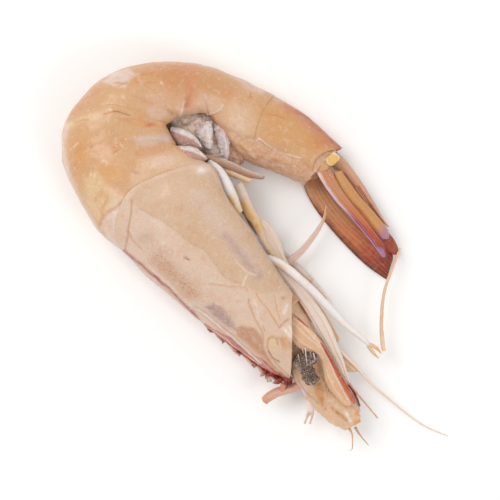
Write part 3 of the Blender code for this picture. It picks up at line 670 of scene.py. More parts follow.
def paint_shield_grooves(art):
    art.stroke([(209, 283.5), (228, 286), (244, 287), (248, 291)], 0.9, (206, 156, 112), 0.8, -0.12)
    art.stroke([(209, 282), (228, 284), (244, 285.5)], 0.9, (236, 214, 192), 0.45, 0.1)
    art.stroke([(248.6, 300), (252, 311.4), (256.6, 322), (262, 332), (263.3, 340), (262.6, 345.5)], 1.2,
               (194, 148, 108), 0.75, -0.15)
    art.stroke([(258.6, 312), (262, 323), (264.7, 331.5)], 0.9, (200, 152, 112), 0.7, -0.12)
    art.stroke([(254, 300), (258, 312), (262, 324)], 1.1, (236, 218, 202), 0.6, 0.1)
    art.stroke([(243, 284), (247, 275)], 0.9, (238, 220, 200), 0.75, 0.2)
    art.stroke([(256, 293), (260, 300), (267.3, 308.7), (273.4, 318), (278, 326)], 0.7, (208, 142, 88),
               0.85, -0.08)
    art.stroke([(274, 295), (277.4, 310), (280, 320)], 0.7, (212, 154, 104), 0.8, -0.08)
    art.stroke([(279.4, 328), (284, 323), (288.8, 319.4)], 0.8, (178, 98, 62), 0.85, -0.08)
    # A thin pale curve, painted as a highlight.
    art.stroke([(235, 260), (243, 268), (249, 273), (256, 275)], 0.7, (240, 216, 184), 0.8, 0.08)
    art.stroke([(184.5, 257.5), (190, 260)], 0.8, (166, 66, 52), 0.9)
    art.stroke([(125, 252), (128, 232), (131, 215), (132, 200)], 1.0, (184, 126, 88), 0.75, -0.12)
    art.stroke([(128, 230), (134, 242), (142, 249)], 1.0, (192, 146, 112), 0.65, -0.1)
    art.strokes([[(284, 313), (287, 305)], [(284, 329), (290, 336)], [(289, 327), (295, 339)]], 1.8,
                (238, 224, 212), 0.8, 0.1)
    art.spot((283, 298), (1.3, 1.3), (176, 120, 84), 0.8)


def paint_eye_socket(art):
    art.patch([(277, 337), (286, 338), (296, 346), (292, 349), (282, 348)], 2.5, (200, 146, 98), 0.8, -0.2)
    art.spot((272, 343), (4.5, 7), (226, 190, 146), 0.85, 0.3)
    art.strokes([[(269, 338), (267.5, 347), (270, 355)], [(270, 337), (276, 338), (278, 345)]], 0.9,
                (186, 130, 82), 0.8, -0.18)
    art.stroke([(268.7, 352), (274, 359), (279.4, 362.3)], 0.8, (146, 88, 56), 0.8, -0.15)
    art.wrinkle += art.spot((276, 350), (14, 12))


print("the fore half has its strokes")

# %% [markdown]
# The carapace is the shield over the head and chest, one plate open along the belly. It is bent
# from a grid as the rings are, with a low crest along the back, a fuller gill cover, and a
# slanted front edge beside the face.
# %% The carapace
FACE_EDGE = (4.1, 0.0, -0.9)


def build_carapace():
    net = bmesh.new()
    bmesh.ops.create_grid(net, x_segments=200, y_segments=230, size=1.0)
    place, across, up, along, angle = bent_plate(net, FACE_EDGE, SHELL_REAR, (1.0, 1.0), 0.0, 0.14)
    side = np.sin(np.abs(angle))
    crest = 0.03 * smooth((0.34 - np.abs(angle)) / 0.2) * smooth((0.9 - along) / 0.3)
    cover = 0.018 * side * smooth((along - 0.45) / 0.3)
    size = 1.0 + crest + cover + 0.004 * smooth((along - 0.93) / 0.07)
    points = section_points(BODY, place, across * size, up * size)
    art = Canvas(points, (216, 186, 162), 0.8)
    paint_fore(art)
    art.height += 0.22 * waver(points, 8.0, 3) + 0.07 * waver(points, 2.0, 4)
    margin = smooth((np.abs(angle) / math.pi - 0.985) / 0.01)
    art.lay(margin, (228, 208, 190), 0.5)
    return add_piece("carapace_shield", net, art, shell_look, ["carapace"],
                     section_hearts(place), 0.45)


build_carapace()
print("carapace finished")

# %% [markdown]
# The toothed blade runs forward from the carapace over the eyes. Eight low teeth lean forward,
# red inside and pale and see-through at their tips. A grid gives the strip: one of its sides
# rises and drops once a tooth, and the other stays sunk in the carapace.
# %% The toothed blade
BLADE_START = 5.95
BLADE_TIP = 3.08
BLADE_TEETH = 8


def build_blade():
    net = bmesh.new()
    bmesh.ops.create_grid(net, x_segments=BLADE_TEETH * 18, y_segments=24, size=1.0)
    grid = np.array([vert.co[:] for vert in net.verts])
    part = (grid[:, 0] + 1.0) / 2.0
    rise = (grid[:, 1] + 1.0) / 2.0
    beat = (part * BLADE_TEETH + 0.25 * np.sin(9.0 * part)) % 1.0
    tooth = smooth(beat / 0.8) ** 1.4 * (1.0 - smooth((beat - 0.8) / 0.2))
    valley = 0.35 + 0.35 * smooth(part / 0.4) + 0.6 * band(part, 0.66, 0.97, 0.2)
    tall = valley + (0.55 + 0.25 * smooth(part / 0.5)) * tooth * (1.0 - 0.5 * smooth((part - 0.9) / 0.1))
    deep = -3.2 * (1.0 - 0.8 * smooth((part - 0.5) / 0.5))
    height = deep + (tall - deep) * rise
    place = BLADE_START + (BLADE_TIP - BLADE_START) * part - 0.1 * tooth * rise
    edge = section_points(BODY, place, np.ones(len(place)), np.zeros(len(place)))
    outward = edge - section_hearts(place)
    outward /= np.linalg.norm(outward, axis=1)[:, None]
    points = edge + outward * height[:, None]
    points[:, 2] += 0.25 * waver(points, 1.8, 6)
    art = Canvas(points, (160, 44, 34), 0.6)
    art.lay(smooth((-0.9 - height) / 0.8), (190, 120, 92), 0.7)
    paint_crest_lines(art)
    pale_tip = smooth((height - valley + 0.15) / 0.3) * smooth((rise - 0.8) / 0.12)
    art.lay(pale_tip, (230, 204, 184), 0.85)
    art.lay(smooth((rise - 0.93) / 0.05), (214, 168, 138), 0.5)
    art.lay(smooth((part - 0.93) / 0.04), (132, 32, 28), 0.9)
    return add_piece("crest_blade", net, art, shell_look, (), points - [0.0, 0.0, 1.0], 1.3)


build_blade()
print("blade has", BLADE_TEETH, "teeth")

# %% [markdown]
# Meat and soft skin show under the plates, along the belly and at the ends. A ball whose rows
# become an end cap, a side wall and another cap makes this closed body. The same rows make every
# other rounded piece.
# %% Closed pieces from a ball
def wrapped(around, along, cap_rows):
    """A ball as rows of an end cap, a wall and a cap, with each vertex's part, reach and angle."""
    net = bmesh.new()
    rows = along + 2 * cap_rows
    bmesh.ops.create_uvsphere(net, u_segments=around, v_segments=rows, radius=1.0)
    ball = np.array([vert.co[:] for vert in net.verts])
    row = np.rint(np.arccos(np.clip(ball[:, 2], -1.0, 1.0)) / math.pi * rows)
    angle = np.arctan2(ball[:, 1], ball[:, 0])
    reach = np.sin(np.minimum(np.minimum(row, rows - row), cap_rows) / cap_rows * math.pi / 2.0)
    part = np.clip(row - cap_rows, 0, along) / along
    return net, part, reach, angle


def paint_belly(art):
    art.patch([(206, 112), (240, 140), (256, 145), (300, 160), (318, 168), (312, 190), (290, 184),
               (250, 166), (226, 160)], 3, (222, 172, 134), 0.85)
    art.strokes([[(232, 136), (240, 150)], [(238, 140), (254, 156)]], 2.2, (222, 186, 150), 0.85, 0.5)
    bubbles = art.spot((280, 165), (36, 16))
    art.speck += 0.6 * bubbles
    art.lay(bubbles * smooth(waver(art.points, 1.1, 17) * 2.5), (228, 196, 176), 0.6, 0.12)
    art.lay(bubbles * smooth(waver(art.points, 1.3, 18) * 2.5), (188, 136, 108), 0.5, -0.08)


def build_meat():
    net, part, reach, angle = wrapped(110, 300, 8)
    fore = smooth((0.3 - part) / 0.05)
    tail = smooth((part - 0.78) / 0.06)
    place = 4.7 + (20.95 - 4.7) * part
    off = np.abs(math.pi - np.abs(angle))
    belly_side = smooth((1.5 - off) / 0.8)
    channel = smooth((0.72 - off) / 0.24 + 0.5) * 0.12 * (1.0 - tail) * (1.0 - fore)
    size = reach * (0.93 + (0.05 * tail + 0.055 * fore) * belly_side) * (1.0 - channel)
    points = section_points(BODY, place, size * np.cos(angle), size * np.sin(angle))
    art = Canvas(points, (214, 172, 140))
    paint_belly(art)
    art.wrinkle += 1.0
    art.height += 0.3 * waver(points, 1.6, 12) + 0.14 * waver(points, 0.7, 13)
    return add_piece("belly_meat", net, art, flesh_look)


build_meat()
print("meat fills the plates")

# %% [markdown]
# Leaf-shaped pieces, such as the tail leaves and the flaps of the face, are lofts through rows of
# their own. Their paint follows the leaf: how far along it a vertex is, and how far across.
# %% Lofted leaves
def lofted(rows, around, along, caps=3, round_tip=0.0):
    """A net and points through rows, with how far along and across each is, for its paint."""
    net, part, reach, angle = wrapped(around, along, caps)
    tip = np.clip((part - (1.0 - round_tip)) / max(round_tip, 1e-6), 0.0, 1.0)
    size = reach * np.sqrt(np.clip(1.0 - 0.8 * tip ** 2, 0.0, 1.0))
    points = section_points(rows, part * (len(rows) - 1.0), np.cos(angle) * size, np.sin(angle) * reach)
    return net, points, part, np.cos(angle)


print("leaves take rows and a rounded tip")

# %% [markdown]
# The face is what the carapace leaves free: the fleshy stalks of the feelers, swollen and
# speckled at the front, with thin folds running forward to short orange tips.
# %% The face
HEAD = [
    (21.8, -43.4, 26.0, -41.0, 7.2, 1.3),
    (17.4, -41.0, 24.2, -35.8, 7.5, 2.1),
    (12.4, -35.8, 19.4, -29.8, 7.9, 2.7),
    (9.2, -30.6, 16.0, -23.4, 8.3, 3.0),
    (5.2, -24.8, 12.8, -15.4, 8.9, 4.3),
    (1.8, -21.0, 9.0, -10.0, 9.2, 6.0),
]


def paint_face(art):
    art.patch([(288, 316), (300, 316), (318, 340), (330, 362), (340, 382), (332, 384), (320, 354),
               (296, 350), (284, 332)], 3, (228, 204, 180), 0.85)
    art.spot((324, 378), (6, 5), (218, 172, 128), 0.8, 0.2)
    art.stroke([(329, 372), (329.5, 378), (325, 382.5)], 1.0, (238, 214, 182), 0.8, 0.15)
    art.patch([(315, 382), (322, 382), (325, 392), (323, 404), (318, 402), (314, 392)], 2,
              (205, 145, 85), 0.85)
    art.spot((319.6, 384), (1.4, 1.4), (222, 140, 50), 0.9)
    art.patch([(324, 386), (334, 385), (340, 392), (340, 398), (328, 398)], 3, (214, 172, 142), 0.7)
    art.spot((330, 425), (10, 6), (224, 190, 160), 0.7)
    art.stroke([(322, 398), (322, 404), (324.5, 409)], 2.0, (194, 132, 78), 0.8, -0.15)
    art.stroke([(332.5, 408.3), (340, 415), (347.4, 421)], 1.5, (194, 134, 80), 0.85, -0.3)
    art.stroke([(346, 412), (348, 417), (350, 421)], 1.8, (242, 228, 212), 0.85, 0.2)
    art.patch([(354, 409), (360, 411), (362, 417), (356, 416)], 1.2, (228, 150, 75), 0.9, 0.1)
    art.patch([(353, 421), (360, 420), (367, 420), (362, 428), (354, 428)], 1.6, (222, 145, 80), 0.9, 0.1)
    art.spot((367.5, 421), (1.6, 1.6), (142, 92, 60), 0.8)
    art.patch([(301, 388), (306, 389), (307, 395), (303, 395)], 2.0, (215, 205, 220), 0.85)
    art.stroke([(298, 380), (306, 392), (318, 403)], 0.9, (150, 120, 112), 0.6, -0.15)
    art.speck += art.spot((332, 391), (9, 7))
    art.wrinkle += art.spot((330, 395), (30, 30)) + art.spot((312, 385), (10, 10))


def build_face():
    net, points, _, _ = lofted(HEAD, 120, 170, 6)
    art = Canvas(points, (220, 182, 148), 0.7)
    paint_fore(art)
    paint_face(art)
    art.height += 0.4 * waver(points, 2.6, 21) + 0.18 * waver(points, 1.0, 22)
    return add_piece("face_flesh", net, art, flesh_look, ["head"])


build_face()
print("face finished")

# %% [markdown]
# The eyes have dried: dark olive-grey, wide at the top, drawn in at the middle and folded below,
# where the stalk was. Rows give the outline, and coarse and fine creases fold the skin.
# %% The eyes
EYE = np.array([
    (13.5, -23.3, 10.2, -23.4, 0.0, 0.9),
    (14.8, -24.2, 9.0, -24.5, 0.0, 2.0),
    (14.4, -25.5, 8.5, -25.3, 0.0, 2.2),
    (13.5, -26.6, 9.2, -26.6, 0.0, 1.9),
    (14.0, -27.5, 10.7, -27.7, 0.0, 1.4),
    (14.2, -28.8, 10.6, -28.5, 0.0, 1.5),
    (15.0, -29.9, 11.0, -29.9, 0.0, 1.3),
    (13.8, -31.2, 12.0, -31.0, 0.0, 0.9),
])


def eye_look():
    look = Look("eye_dried", Coat_Weight=0.3, Coat_Roughness=0.25)
    grain = look.cloud(0.5, 4.0, 0.7)
    thread = look.cloud(0.3, 3.0, 0.7)
    colour = look.tint(look.painted("paint"), (30, 26, 20), look.step(grain, 0.5, 0.58) * 0.85)
    colour = look.tint(colour, (214, 196, 184), look.step(thread, 0.54, 0.62) * 0.7)
    colour = look.tint(colour, (128, 62, 40), look.step(look.cloud(0.9), 0.5, 0.6) * 0.5)
    look.feed(look.shader.inputs["Base Color"], colour)
    look.feed(look.shader.inputs["Roughness"], grain * 0.4 + 0.3)
    look.feed(look.shader.inputs["Normal"], look.bump(grain + thread, 0.3))
    return look


dried_eye_look = eye_look()


def build_eye(name, node, shift, seed):
    rows = EYE + np.array([shift[0], shift[1], shift[0], shift[1], shift[2], 0.0])
    net, points, _, _ = lofted(rows, 90, 90, 5)
    art = Canvas(points, (108, 86, 66), 0.4)
    creases = waver(points, 0.9, seed)
    art.height += 0.35 * creases + 0.2 * waver(points, 0.45, seed + 1)
    art.lay(smooth(-creases * 2.5), (40, 35, 27), 0.7)
    art.stroke([(307.5, 365), (313, 361), (318.4, 357)], 1.1, (206, 186, 180), 0.85, 0.3)
    art.stroke([(294, 362.5), (298, 367), (301.5, 371)], 1.3, (204, 184, 182), 0.85, 0.2)
    art.strokes([[(309, 368), (314, 366), (318, 361)], [(311, 372), (316, 369)]], 1.4, (112, 60, 42), 0.8)
    art.stroke([(303.7, 379.6), (309.4, 382.8), (312.6, 385.4)], 0.7, (224, 208, 200), 0.9, 0.2)
    art.stroke([(291.6, 356), (296, 352), (302, 351)], 1.0, (214, 184, 140), 0.7)
    art.stroke([(313, 375.8), (317, 376.8), (321.6, 378.3)], 1.4, (34, 24, 22), 0.9, 0.2)
    return add_piece(name, net, art, dried_eye_look, [node])


build_eye("eye_near", "eye_left", (0.0, 0.0, 14.2), 31)
build_eye("eye_far", "eye_right", (0.2, -0.7, 2.6), 37)
print("eyes finished")

# %% [markdown]
# Round stalks, from legs to hairs, follow a smooth line of points with a radius at each. The
# joints of a leg are slight swellings, and a leg is wider than it is thick.
# %% Stalks
def stalk_points(line, sides, along, caps=2, flat=1.0):
    """A net and points round a smooth line of places and radii, with part and angle."""
    net, part, reach, angle = wrapped(sides, along, caps)
    line = np.array(line, dtype=float)
    spans = len(line) - 1.0
    here = blend(line, part * spans)
    ahead = blend(line, np.minimum(part * spans + 0.02, spans))[:, 0:3]
    behind = blend(line, np.maximum(part * spans - 0.02, 0.0))[:, 0:3]
    run = ahead - behind
    run /= np.linalg.norm(run, axis=1)[:, None]
    side = np.cross(run, [0.0, 0.0, 1.0])
    side /= np.linalg.norm(side, axis=1)[:, None]
    over = np.cross(side, run)
    out = side * np.cos(angle)[:, None] + over * (flat * np.sin(angle))[:, None]
    points = here[:, 0:3] + out * (here[:, 3] * reach)[:, None]
    return net, points, part, angle


def build_stalk(name, node, line, base, look, slot, joints=(), ridge=0.0, strokes=(), flat=1.0, sides=20,
                along=80):
    net, points, part, angle = stalk_points(line, sides, along, 3, flat)
    art = Canvas(points, base, 0.5)
    for joint in joints:
        art.lay(np.exp(-((part - joint) / 0.03) ** 2), (222, 180, 140), 0.35, 0.06)
        art.lay(np.exp(-((part - joint - 0.035) / 0.01) ** 2), (190, 146, 112), 0.5, -0.06)
    art.height += ridge * np.cos(3.0 * angle + 2.0 * part) + 0.06 * waver(points, 1.4, len(name))
    for line_points, width, colour, strength in strokes:
        art.stroke(line_points, width, colour, strength)
    return add_piece(name, net, art, look, [node] if node else ())


print("stalks take joints, ridges and strokes")

# %% [markdown]
# The legs fold under the chest, whitish and moist with yellow patches. One long leg reaches
# forward to a small pincer, and a pale flat one points to the tail.
# %% The legs
CREAM = (230, 212, 198)
WHITE = (237, 231, 228)
YELLOW = (230, 184, 88)
OCHRE = (228, 184, 100)
FINGER = (228, 196, 160)
FINGER_TIP = (226, 178, 64)
AMBER = (224, 172, 112)
PALE = {"look": pale_look, "slot": "pale"}
THIN = {"look": thin_look, "slot": "thin"}
build_stalk("leg_upper_stump", "leg_stump",
            [(-12.2, 23.6, 12.6, 1.0), (-10.0, 21.8, 14.0, 1.2), (-8.2, 18.9, 14.6, 1.42),
             (-6.4, 15.2, 14.2, 1.35), (-4.7, 11.3, 13.2, 0.95)], WHITE, **PALE, ridge=0.05,
            strokes=[([(231, 199), (234.5, 206), (238, 212)], 5, OCHRE, 0.9)], flat=0.7, sides=24, along=100)
build_stalk("leg_long_rod", "leg_rod",
            [(-5.0, 18.5, 9.2, 1.6), (-2.25, 12.0, 9.4, 1.5), (-0.4, 9.0, 9.4, 1.2), (1.5, 4.25, 9.4, 0.85),
             (4.9, -1.0, 9.2, 0.7)], CREAM, **PALE, ridge=0.06,
            strokes=[([(243, 205), (250, 215), (258, 225)], 5, YELLOW, 0.9),
                     ([(258, 225), (268, 244), (278, 262)], 2.2, OCHRE, 0.6),
                     ([(254, 221), (254, 223)], 1.6, (238, 216, 206), 0.9)], flat=0.7, sides=24, along=110)
build_stalk("leg_reaching", "leg_long",
            [(-0.5, 0.0, 11.4, 1.1), (5.2, -1.2, 12.9, 1.1), (12.75, -7.25, 12.8, 1.0),
             (20.75, -15.5, 10.6, 0.9), (25.75, -19.75, 8.4, 0.8), (28.5, -22.25, 7.2, 0.45)],
            WHITE, **PALE, ridge=0.04,
            strokes=[([(262, 262), (284, 268)], 4, (228, 188, 130), 0.5)], flat=0.7, sides=22, along=150)
build_stalk("leg_finger_upper", None,
            [(28.2, -21.7, 7.6, 0.5), (30.0, -22.8, 7.0, 0.42), (31.2, -24.2, 6.4, 0.16)], FINGER, **PALE,
            ridge=0.02, strokes=[([(377, 348), (384, 356)], 2.5, FINGER_TIP, 0.9)])
build_stalk("leg_finger_lower", None,
            [(27.8, -22.2, 7.4, 0.5), (29.2, -24.0, 6.6, 0.4), (30.6, -25.4, 6.0, 0.14)], FINGER, **PALE,
            ridge=0.02, strokes=[([(376, 357), (382, 362)], 2.5, FINGER_TIP, 0.9)])
build_stalk("leg_pale_strap", "leg_strap",
            [(2.4, -2.8, 5.6, 0.8), (7.5, -0.9, 5.4, 0.9), (11.3, 2.0, 5.4, 0.8), (14.8, 6.5, 5.2, 0.6),
             (16.8, 10.0, 4.8, 0.38), (17.4, 13.4, 4.4, 0.16)], (215, 185, 170), **PALE, ridge=0.03,
            strokes=[([(325, 220), (328, 204)], 3, (216, 152, 88), 0.85)], flat=0.4)
build_stalk("leg_thin_end", "leg_thin",
            [(32.0, -23.6, 5.4, 0.5), (31.6, -21.2, 5.2, 0.55), (31.4, -16.0, 5.0, 0.45),
             (32.2, -8.6, 4.6, 0.4), (34.8, -1.3, 4.2, 0.34), (36.2, 2.4, 4.6, 0.2)],
            (228, 190, 158), **THIN, ridge=0.03,
            strokes=[([(386, 352), (384, 338)], 5, (235, 205, 175), 0.85)], flat=0.8)
build_stalk("leg_behind_1", "leg_hidden_1",
            [(-10.0, 17.0, 5.6, 1.2), (-4.6, 14.4, 5.4, 1.2), (-1.2, 8.8, 5.6, 1.1), (2.0, 4.0, 5.4, 0.7)],
            CREAM, **PALE, joints=(0.5,), ridge=0.05)
build_stalk("leg_behind_2", "leg_hidden_2",
            [(1.0, 1.6, 3.2, 1.1), (6.0, 0.6, 2.6, 1.1), (12.4, -4.6, 2.2, 0.9), (17.8, -10.4, 2.0, 0.4)],
            CREAM, **PALE, joints=(0.4, 0.7), ridge=0.05)
print("legs finished, pieces so far", len(made_pieces))

# %% [markdown]
# Thin feelers and the broken stalk stand out from the face. Hair-thin feelers are the same
# stalks with a small radius that shrinks to the tip. Each starts inside the face.
# %% The feelers
FLESH = {"look": flesh_look, "slot": "plate"}
FORK = (236, 222, 214)
FORK_TIP = (205, 165, 140)
build_stalk("feeler_sweeping", "feeler_long",
            [(19.0, -21.3, 8.8, 0.38), (21.8, -24.5, 8.0, 0.4), (25.0, -27.7, 6.8, 0.4),
             (27.4, -30.4, 5.9, 0.38), (30.5, -33.5, 4.8, 0.34), (41.3, -42.3, 1.4, 0.2),
             (49.0, -46.0, 0.5, 0.12)], (236, 212, 196), **THIN, sides=12, along=140)
build_stalk("feeler_stiff", "feeler_short",
            [(23.1, -31.7, 7.2, 0.24), (26.0, -35.4, 5.9, 0.24), (28.1, -37.9, 5.2, 0.2),
             (30.5, -40.8, 4.4, 0.14)], (212, 166, 138), **THIN, sides=12, along=60)
build_stalk("feeler_with_hook", "feeler_hooked",
            [(23.0, -43.0, 6.8, 0.42), (23.9, -44.75, 5.6, 0.2), (24.1, -47.9, 4.4, 0.13),
             (23.8, -49.1, 3.8, 0.1), (23.1, -49.1, 3.5, 0.06)], (208, 164, 136), **THIN,
            strokes=[([(351, 428), (354, 438)], 3.5, AMBER, 0.85)], sides=12, along=70)
build_stalk("feeler_second", "feeler_tip",
            [(24.65, -42.9, 6.6, 0.36), (25.95, -45.0, 5.6, 0.22), (28.2, -47.7, 4.6, 0.07)],
            (200, 156, 128), **THIN, sides=12, along=50)
build_stalk("stalk_ringed", "stalk_broken",
            [(11.0, -31.6, 7.2, 0.95), (10.0, -32.4, 6.9, 1.1), (7.7, -33.25, 6.6, 1.2),
             (5.2, -33.95, 6.3, 1.2), (3.2, -35.0, 6.0, 1.2), (1.5, -36.3, 5.6, 1.0)],
            (214, 166, 142), **FLESH, ridge=0.1,
            strokes=[([(262, 408), (266, 404)], 4, (190, 130, 96), 0.7)], flat=0.8, sides=24, along=90)
build_stalk("stalk_neck", None, [(6.5, -31.5, 8.2, 0.7), (6.3, -32.6, 7.4, 0.75), (6.0, -33.6, 6.6, 0.7)],
            (206, 140, 108), **FLESH, ridge=0.05)
build_stalk("fork_prong_1", "feeler_forked",
            [(13.4, -34.7, 5.8, 0.94), (13.4, -38.2, 4.9, 0.94), (12.6, -40.4, 4.4, 0.325),
             (11.9, -42.2, 4.0, 0.325)], FORK, **PALE, ridge=0.03,
            strokes=[([(309, 414), (305.5, 426.7)], 3, FORK_TIP, 0.9)], flat=0.6)
build_stalk("fork_prong_2", None,
            [(13.4, -35.4, 5.2, 0.94), (13.5, -38.2, 4.7, 0.94), (13.8, -40.4, 4.3, 0.325),
             (13.2, -42.25, 4.0, 0.325)], FORK, **PALE, ridge=0.03,
            strokes=[([(314, 414), (310.7, 427)], 3, FORK_TIP, 0.9)], flat=0.6)
print("feelers finished, pieces so far", len(made_pieces))

# %% [markdown]
# Beside the face stand thin plates: the blade at the root of each long feeler with its thick
# red-orange rim, and the flaps of the mouthparts. Each is a loft, pressed a little into a trough.
# %% The plates beside the face
SCALE_LEFT = [(8.8, -14.4, 6.6, -17.4, 15.2, 0.4), (13.4, -17.8, 9.6, -21.8, 14.6, 0.6),
              (17.4, -23.3, 14.9, -24.8, 13.0, 0.6), (20.8, -30.0, 17.2, -31.6, 11.8, 0.6),
              (23.8, -36.3, 22.0, -37.3, 10.6, 0.4)]
SCALE_RIGHT = [(11.0, -16.0, 9.4, -18.0, 3.6, 0.4), (16.0, -20.4, 12.8, -23.0, 4.0, 0.5),
               (20.4, -26.0, 17.4, -28.2, 4.2, 0.5), (23.4, -32.0, 19.4, -34.4, 4.2, 0.5),
               (26.4, -39.2, 24.8, -39.8, 4.2, 0.4)]
MOUTH_FLAP_LEFT = [(5.0, -1.0, 4.0, -2.2, 10.9, 0.4), (9.0, -4.6, 7.4, -6.6, 10.9, 0.6),
                   (13.4, -9.8, 11.2, -12.2, 10.9, 0.6), (17.6, -16.0, 14.8, -18.4, 10.4, 0.6),
                   (20.6, -23.4, 18.4, -24.6, 9.6, 0.6), (23.0, -30.4, 21.8, -31.0, 9.0, 0.4)]
MOUTH_FLAP_RIGHT = [(12.0, -8.2, 9.6, -11.0, 7.0, 0.4), (16.6, -13.4, 13.6, -16.4, 6.8, 0.5),
                    (20.8, -20.8, 19.2, -22.0, 6.6, 0.4)]
ROOT_PLATE = [(21.9, -24.4, 20.6, -26.6, 7.2, 0.3), (23.6, -26.6, 21.4, -28.6, 6.8, 0.4),
              (25.6, -28.8, 22.8, -28.9, 6.2, 0.3)]
LEG_FLAP = [(0.4, 10.2, -1.8, 9.6, 8.5, 0.5), (3.6, 7.9, -0.2, 6.2, 8.5, 0.5), (5.7, 3.8, 1.8, 3.0, 8.5, 0.5),
            (7.2, -0.4, 4.4, -0.6, 8.5, 0.5), (8.0, -2.2, 6.2, -2.2, 8.5, 0.5)]


def build_flap(name, node, rows, base, edge, look, slot, streak=(206, 164, 126)):
    net, points, part, across = lofted(rows, 56, 130, 3, 0.08)
    art = Canvas(points, base, 0.8)
    wander = 0.16 * waver(points, 3.0, len(name))
    for crease in (-0.5, 0.0, 0.45):
        wave = across - crease - 0.2 * np.sin(2.4 * part + 5.0 * crease) + wander
        art.lay(np.exp(-(wave / 0.1) ** 2), streak, 0.4, -0.08)
        art.lay(np.exp(-((wave - 0.18) / 0.1) ** 2), (242, 230, 218), 0.45, 0.08)
    art.lay(smooth((across - 0.9) / 0.08), edge, 0.8)
    art.height += 0.14 * waver(points, 2.0, len(name))
    return add_piece(name, net, art, look, [node] if node else ())


RIM = {"look": shell_look, "slot": "plate"}
build_flap("feeler_plate_near", "antennal_scale_left", SCALE_LEFT, (221, 176, 138), (212, 140, 84), **FLESH)
build_flap("feeler_plate_far", "antennal_scale_right", SCALE_RIGHT, (216, 200, 196), (122, 36, 48), **FLESH)
build_flap("feeler_plate_root", None, ROOT_PLATE, (220, 184, 148), (172, 96, 56), **FLESH)
build_flap("mouth_flap_near", "mouth_flap_left", MOUTH_FLAP_LEFT, (232, 216, 204), (226, 196, 160), **PALE)
build_flap("mouth_flap_far", "mouth_flap_right", MOUTH_FLAP_RIGHT, (222, 180, 132), (228, 176, 108), **PALE)
build_flap("leg_flat_flap", "leg_flap", LEG_FLAP, (225, 205, 190), (236, 218, 200), **PALE,
           streak=(222, 180, 130))
build_stalk("feeler_plate_rim", None,
            [(8.5, -13.7, 15.5, 0.1), (10.6, -15.4, 15.2, 0.16), (12.6, -17.6, 14.7, 0.2),
             (14.1, -19.3, 14.2, 0.24), (16.7, -22.9, 13.5, 0.34), (19.3, -27.7, 12.7, 0.48),
             (22.3, -32.8, 11.8, 0.54), (24.0, -36.1, 11.0, 0.36)], (206, 96, 58), **RIM,
            strokes=[([(293, 313), (308, 329), (322, 346), (338, 372), (356, 402)], 0.9, (118, 44, 44), 0.8)],
            along=150)
build_stalk("feeler_plate_far_rim", None,
            [(22.9, -32.25, 4.8, 0.16), (24.2, -33.7, 4.8, 0.24), (25.2, -35.7, 4.8, 0.26),
             (25.95, -37.7, 4.8, 0.16)], (128, 34, 48), **RIM, sides=12, along=60)
print("plates of the face finished")

# %% [markdown]
# The tail fan folds like a hand of cards: a pointed middle plate and two leaves on each side,
# ribbed lengthwise. Each leaf is painted by how far along and across it a vertex is: dark
# outer edges, blue-violet rims, golden middles and deep red ends.
# %% Paint for the tail leaves
def leaf_ribs(art, part, across, count, depth):
    """Lengthwise ribs that fade to the root."""
    ribs = np.sin(across * count * math.pi)
    art.height += depth * ribs * smooth((part - 0.05) / 0.15)
    art.lay(smooth(ribs), (232, 182, 130), 0.14)
    art.lay(smooth(-ribs), (168, 96, 60), 0.14)


def paint_outer_left(art, part, across):
    art.lay(smooth((part - 0.25) / 0.3), (194, 104, 60), 0.8)
    art.lay(smooth((part - 0.5) / 0.25), (166, 56, 34), 0.85)
    art.lay(smooth((part - 0.72) / 0.2) * smooth((across + 0.4) / 0.3), (134, 24, 18), 0.9)
    art.lay(band(across, -0.95, -0.5, 0.1) * (1.0 - smooth((part - 0.42) / 0.2)), (222, 202, 202), 0.9)
    art.lay(band(across, -0.9, -0.15, 0.2) * smooth((part - 0.42) / 0.15), (162, 70, 96), 0.9)
    art.lay(band(across, -0.95, -0.74, 0.08) * smooth((part - 0.15) / 0.2), (158, 148, 204), 0.85)
    art.lay(smooth((part - 0.84) / 0.08) * band(across, -0.98, 0.5, 0.2), (166, 140, 190), 0.85)
    art.lay(band(across, -0.1, 0.05, 0.1) * smooth((part - 0.2) / 0.3), (150, 52, 40), 0.5)
    art.lay(smooth((-0.9 - across) / 0.05) * smooth((part - 0.02) / 0.05), (32, 26, 30), 0.95)


def paint_inner_left(art, part, across):
    art.lay(band(across, -0.5, 0.2, 0.4), (214, 166, 104), 0.5)
    art.lay(band(across, -0.85, -0.5, 0.1) * smooth((part - 0.2) / 0.2), (196, 112, 62), 0.7)
    art.lay(smooth((part - 0.72) / 0.12), (176, 122, 158), 0.85)
    art.lay(smooth((part - 0.78) / 0.1) * smooth((np.abs(across) - 0.45) / 0.3), (152, 140, 202), 0.8)
    art.lay(smooth((-0.86 - across) / 0.06), (146, 58, 40), 0.9)
    art.lay(smooth((across - 0.93) / 0.05), (196, 104, 60), 0.7)


def paint_telson(art, part, across):
    art.lay(smooth((part - 0.3) / 0.4), (196, 136, 108), 0.6)
    art.lay(band(part, 0.06, 0.5, 0.1) * band(across, -0.9, -0.55, 0.1), (150, 104, 74), 0.7, -0.25)
    art.lay(band(part, 0.1, 0.46, 0.1) * band(across, -0.7, -0.58, 0.05), (236, 214, 190), 0.7, 0.1)
    art.lay(band(part, 0.5, 0.68, 0.05) * band(across, -0.6, 0.0, 0.12), (132, 42, 30), 0.85, -0.3)
    art.lay(band(part, 0.52, 0.66, 0.05) * band(across, -0.45, -0.15, 0.1), (196, 132, 108), 0.85, 0.1)
    art.lay(band(part, 0.68, 0.9, 0.06) * band(across, -0.8, 0.1, 0.12), (96, 50, 34), 0.85, -0.3)
    art.lay(band(part, 0.5, 0.9, 0.08) * band(across, -0.4, -0.28, 0.06), (226, 176, 150), 0.7, 0.1)
    art.lay(smooth((across - 0.88) / 0.06), (122, 42, 40), 0.85)


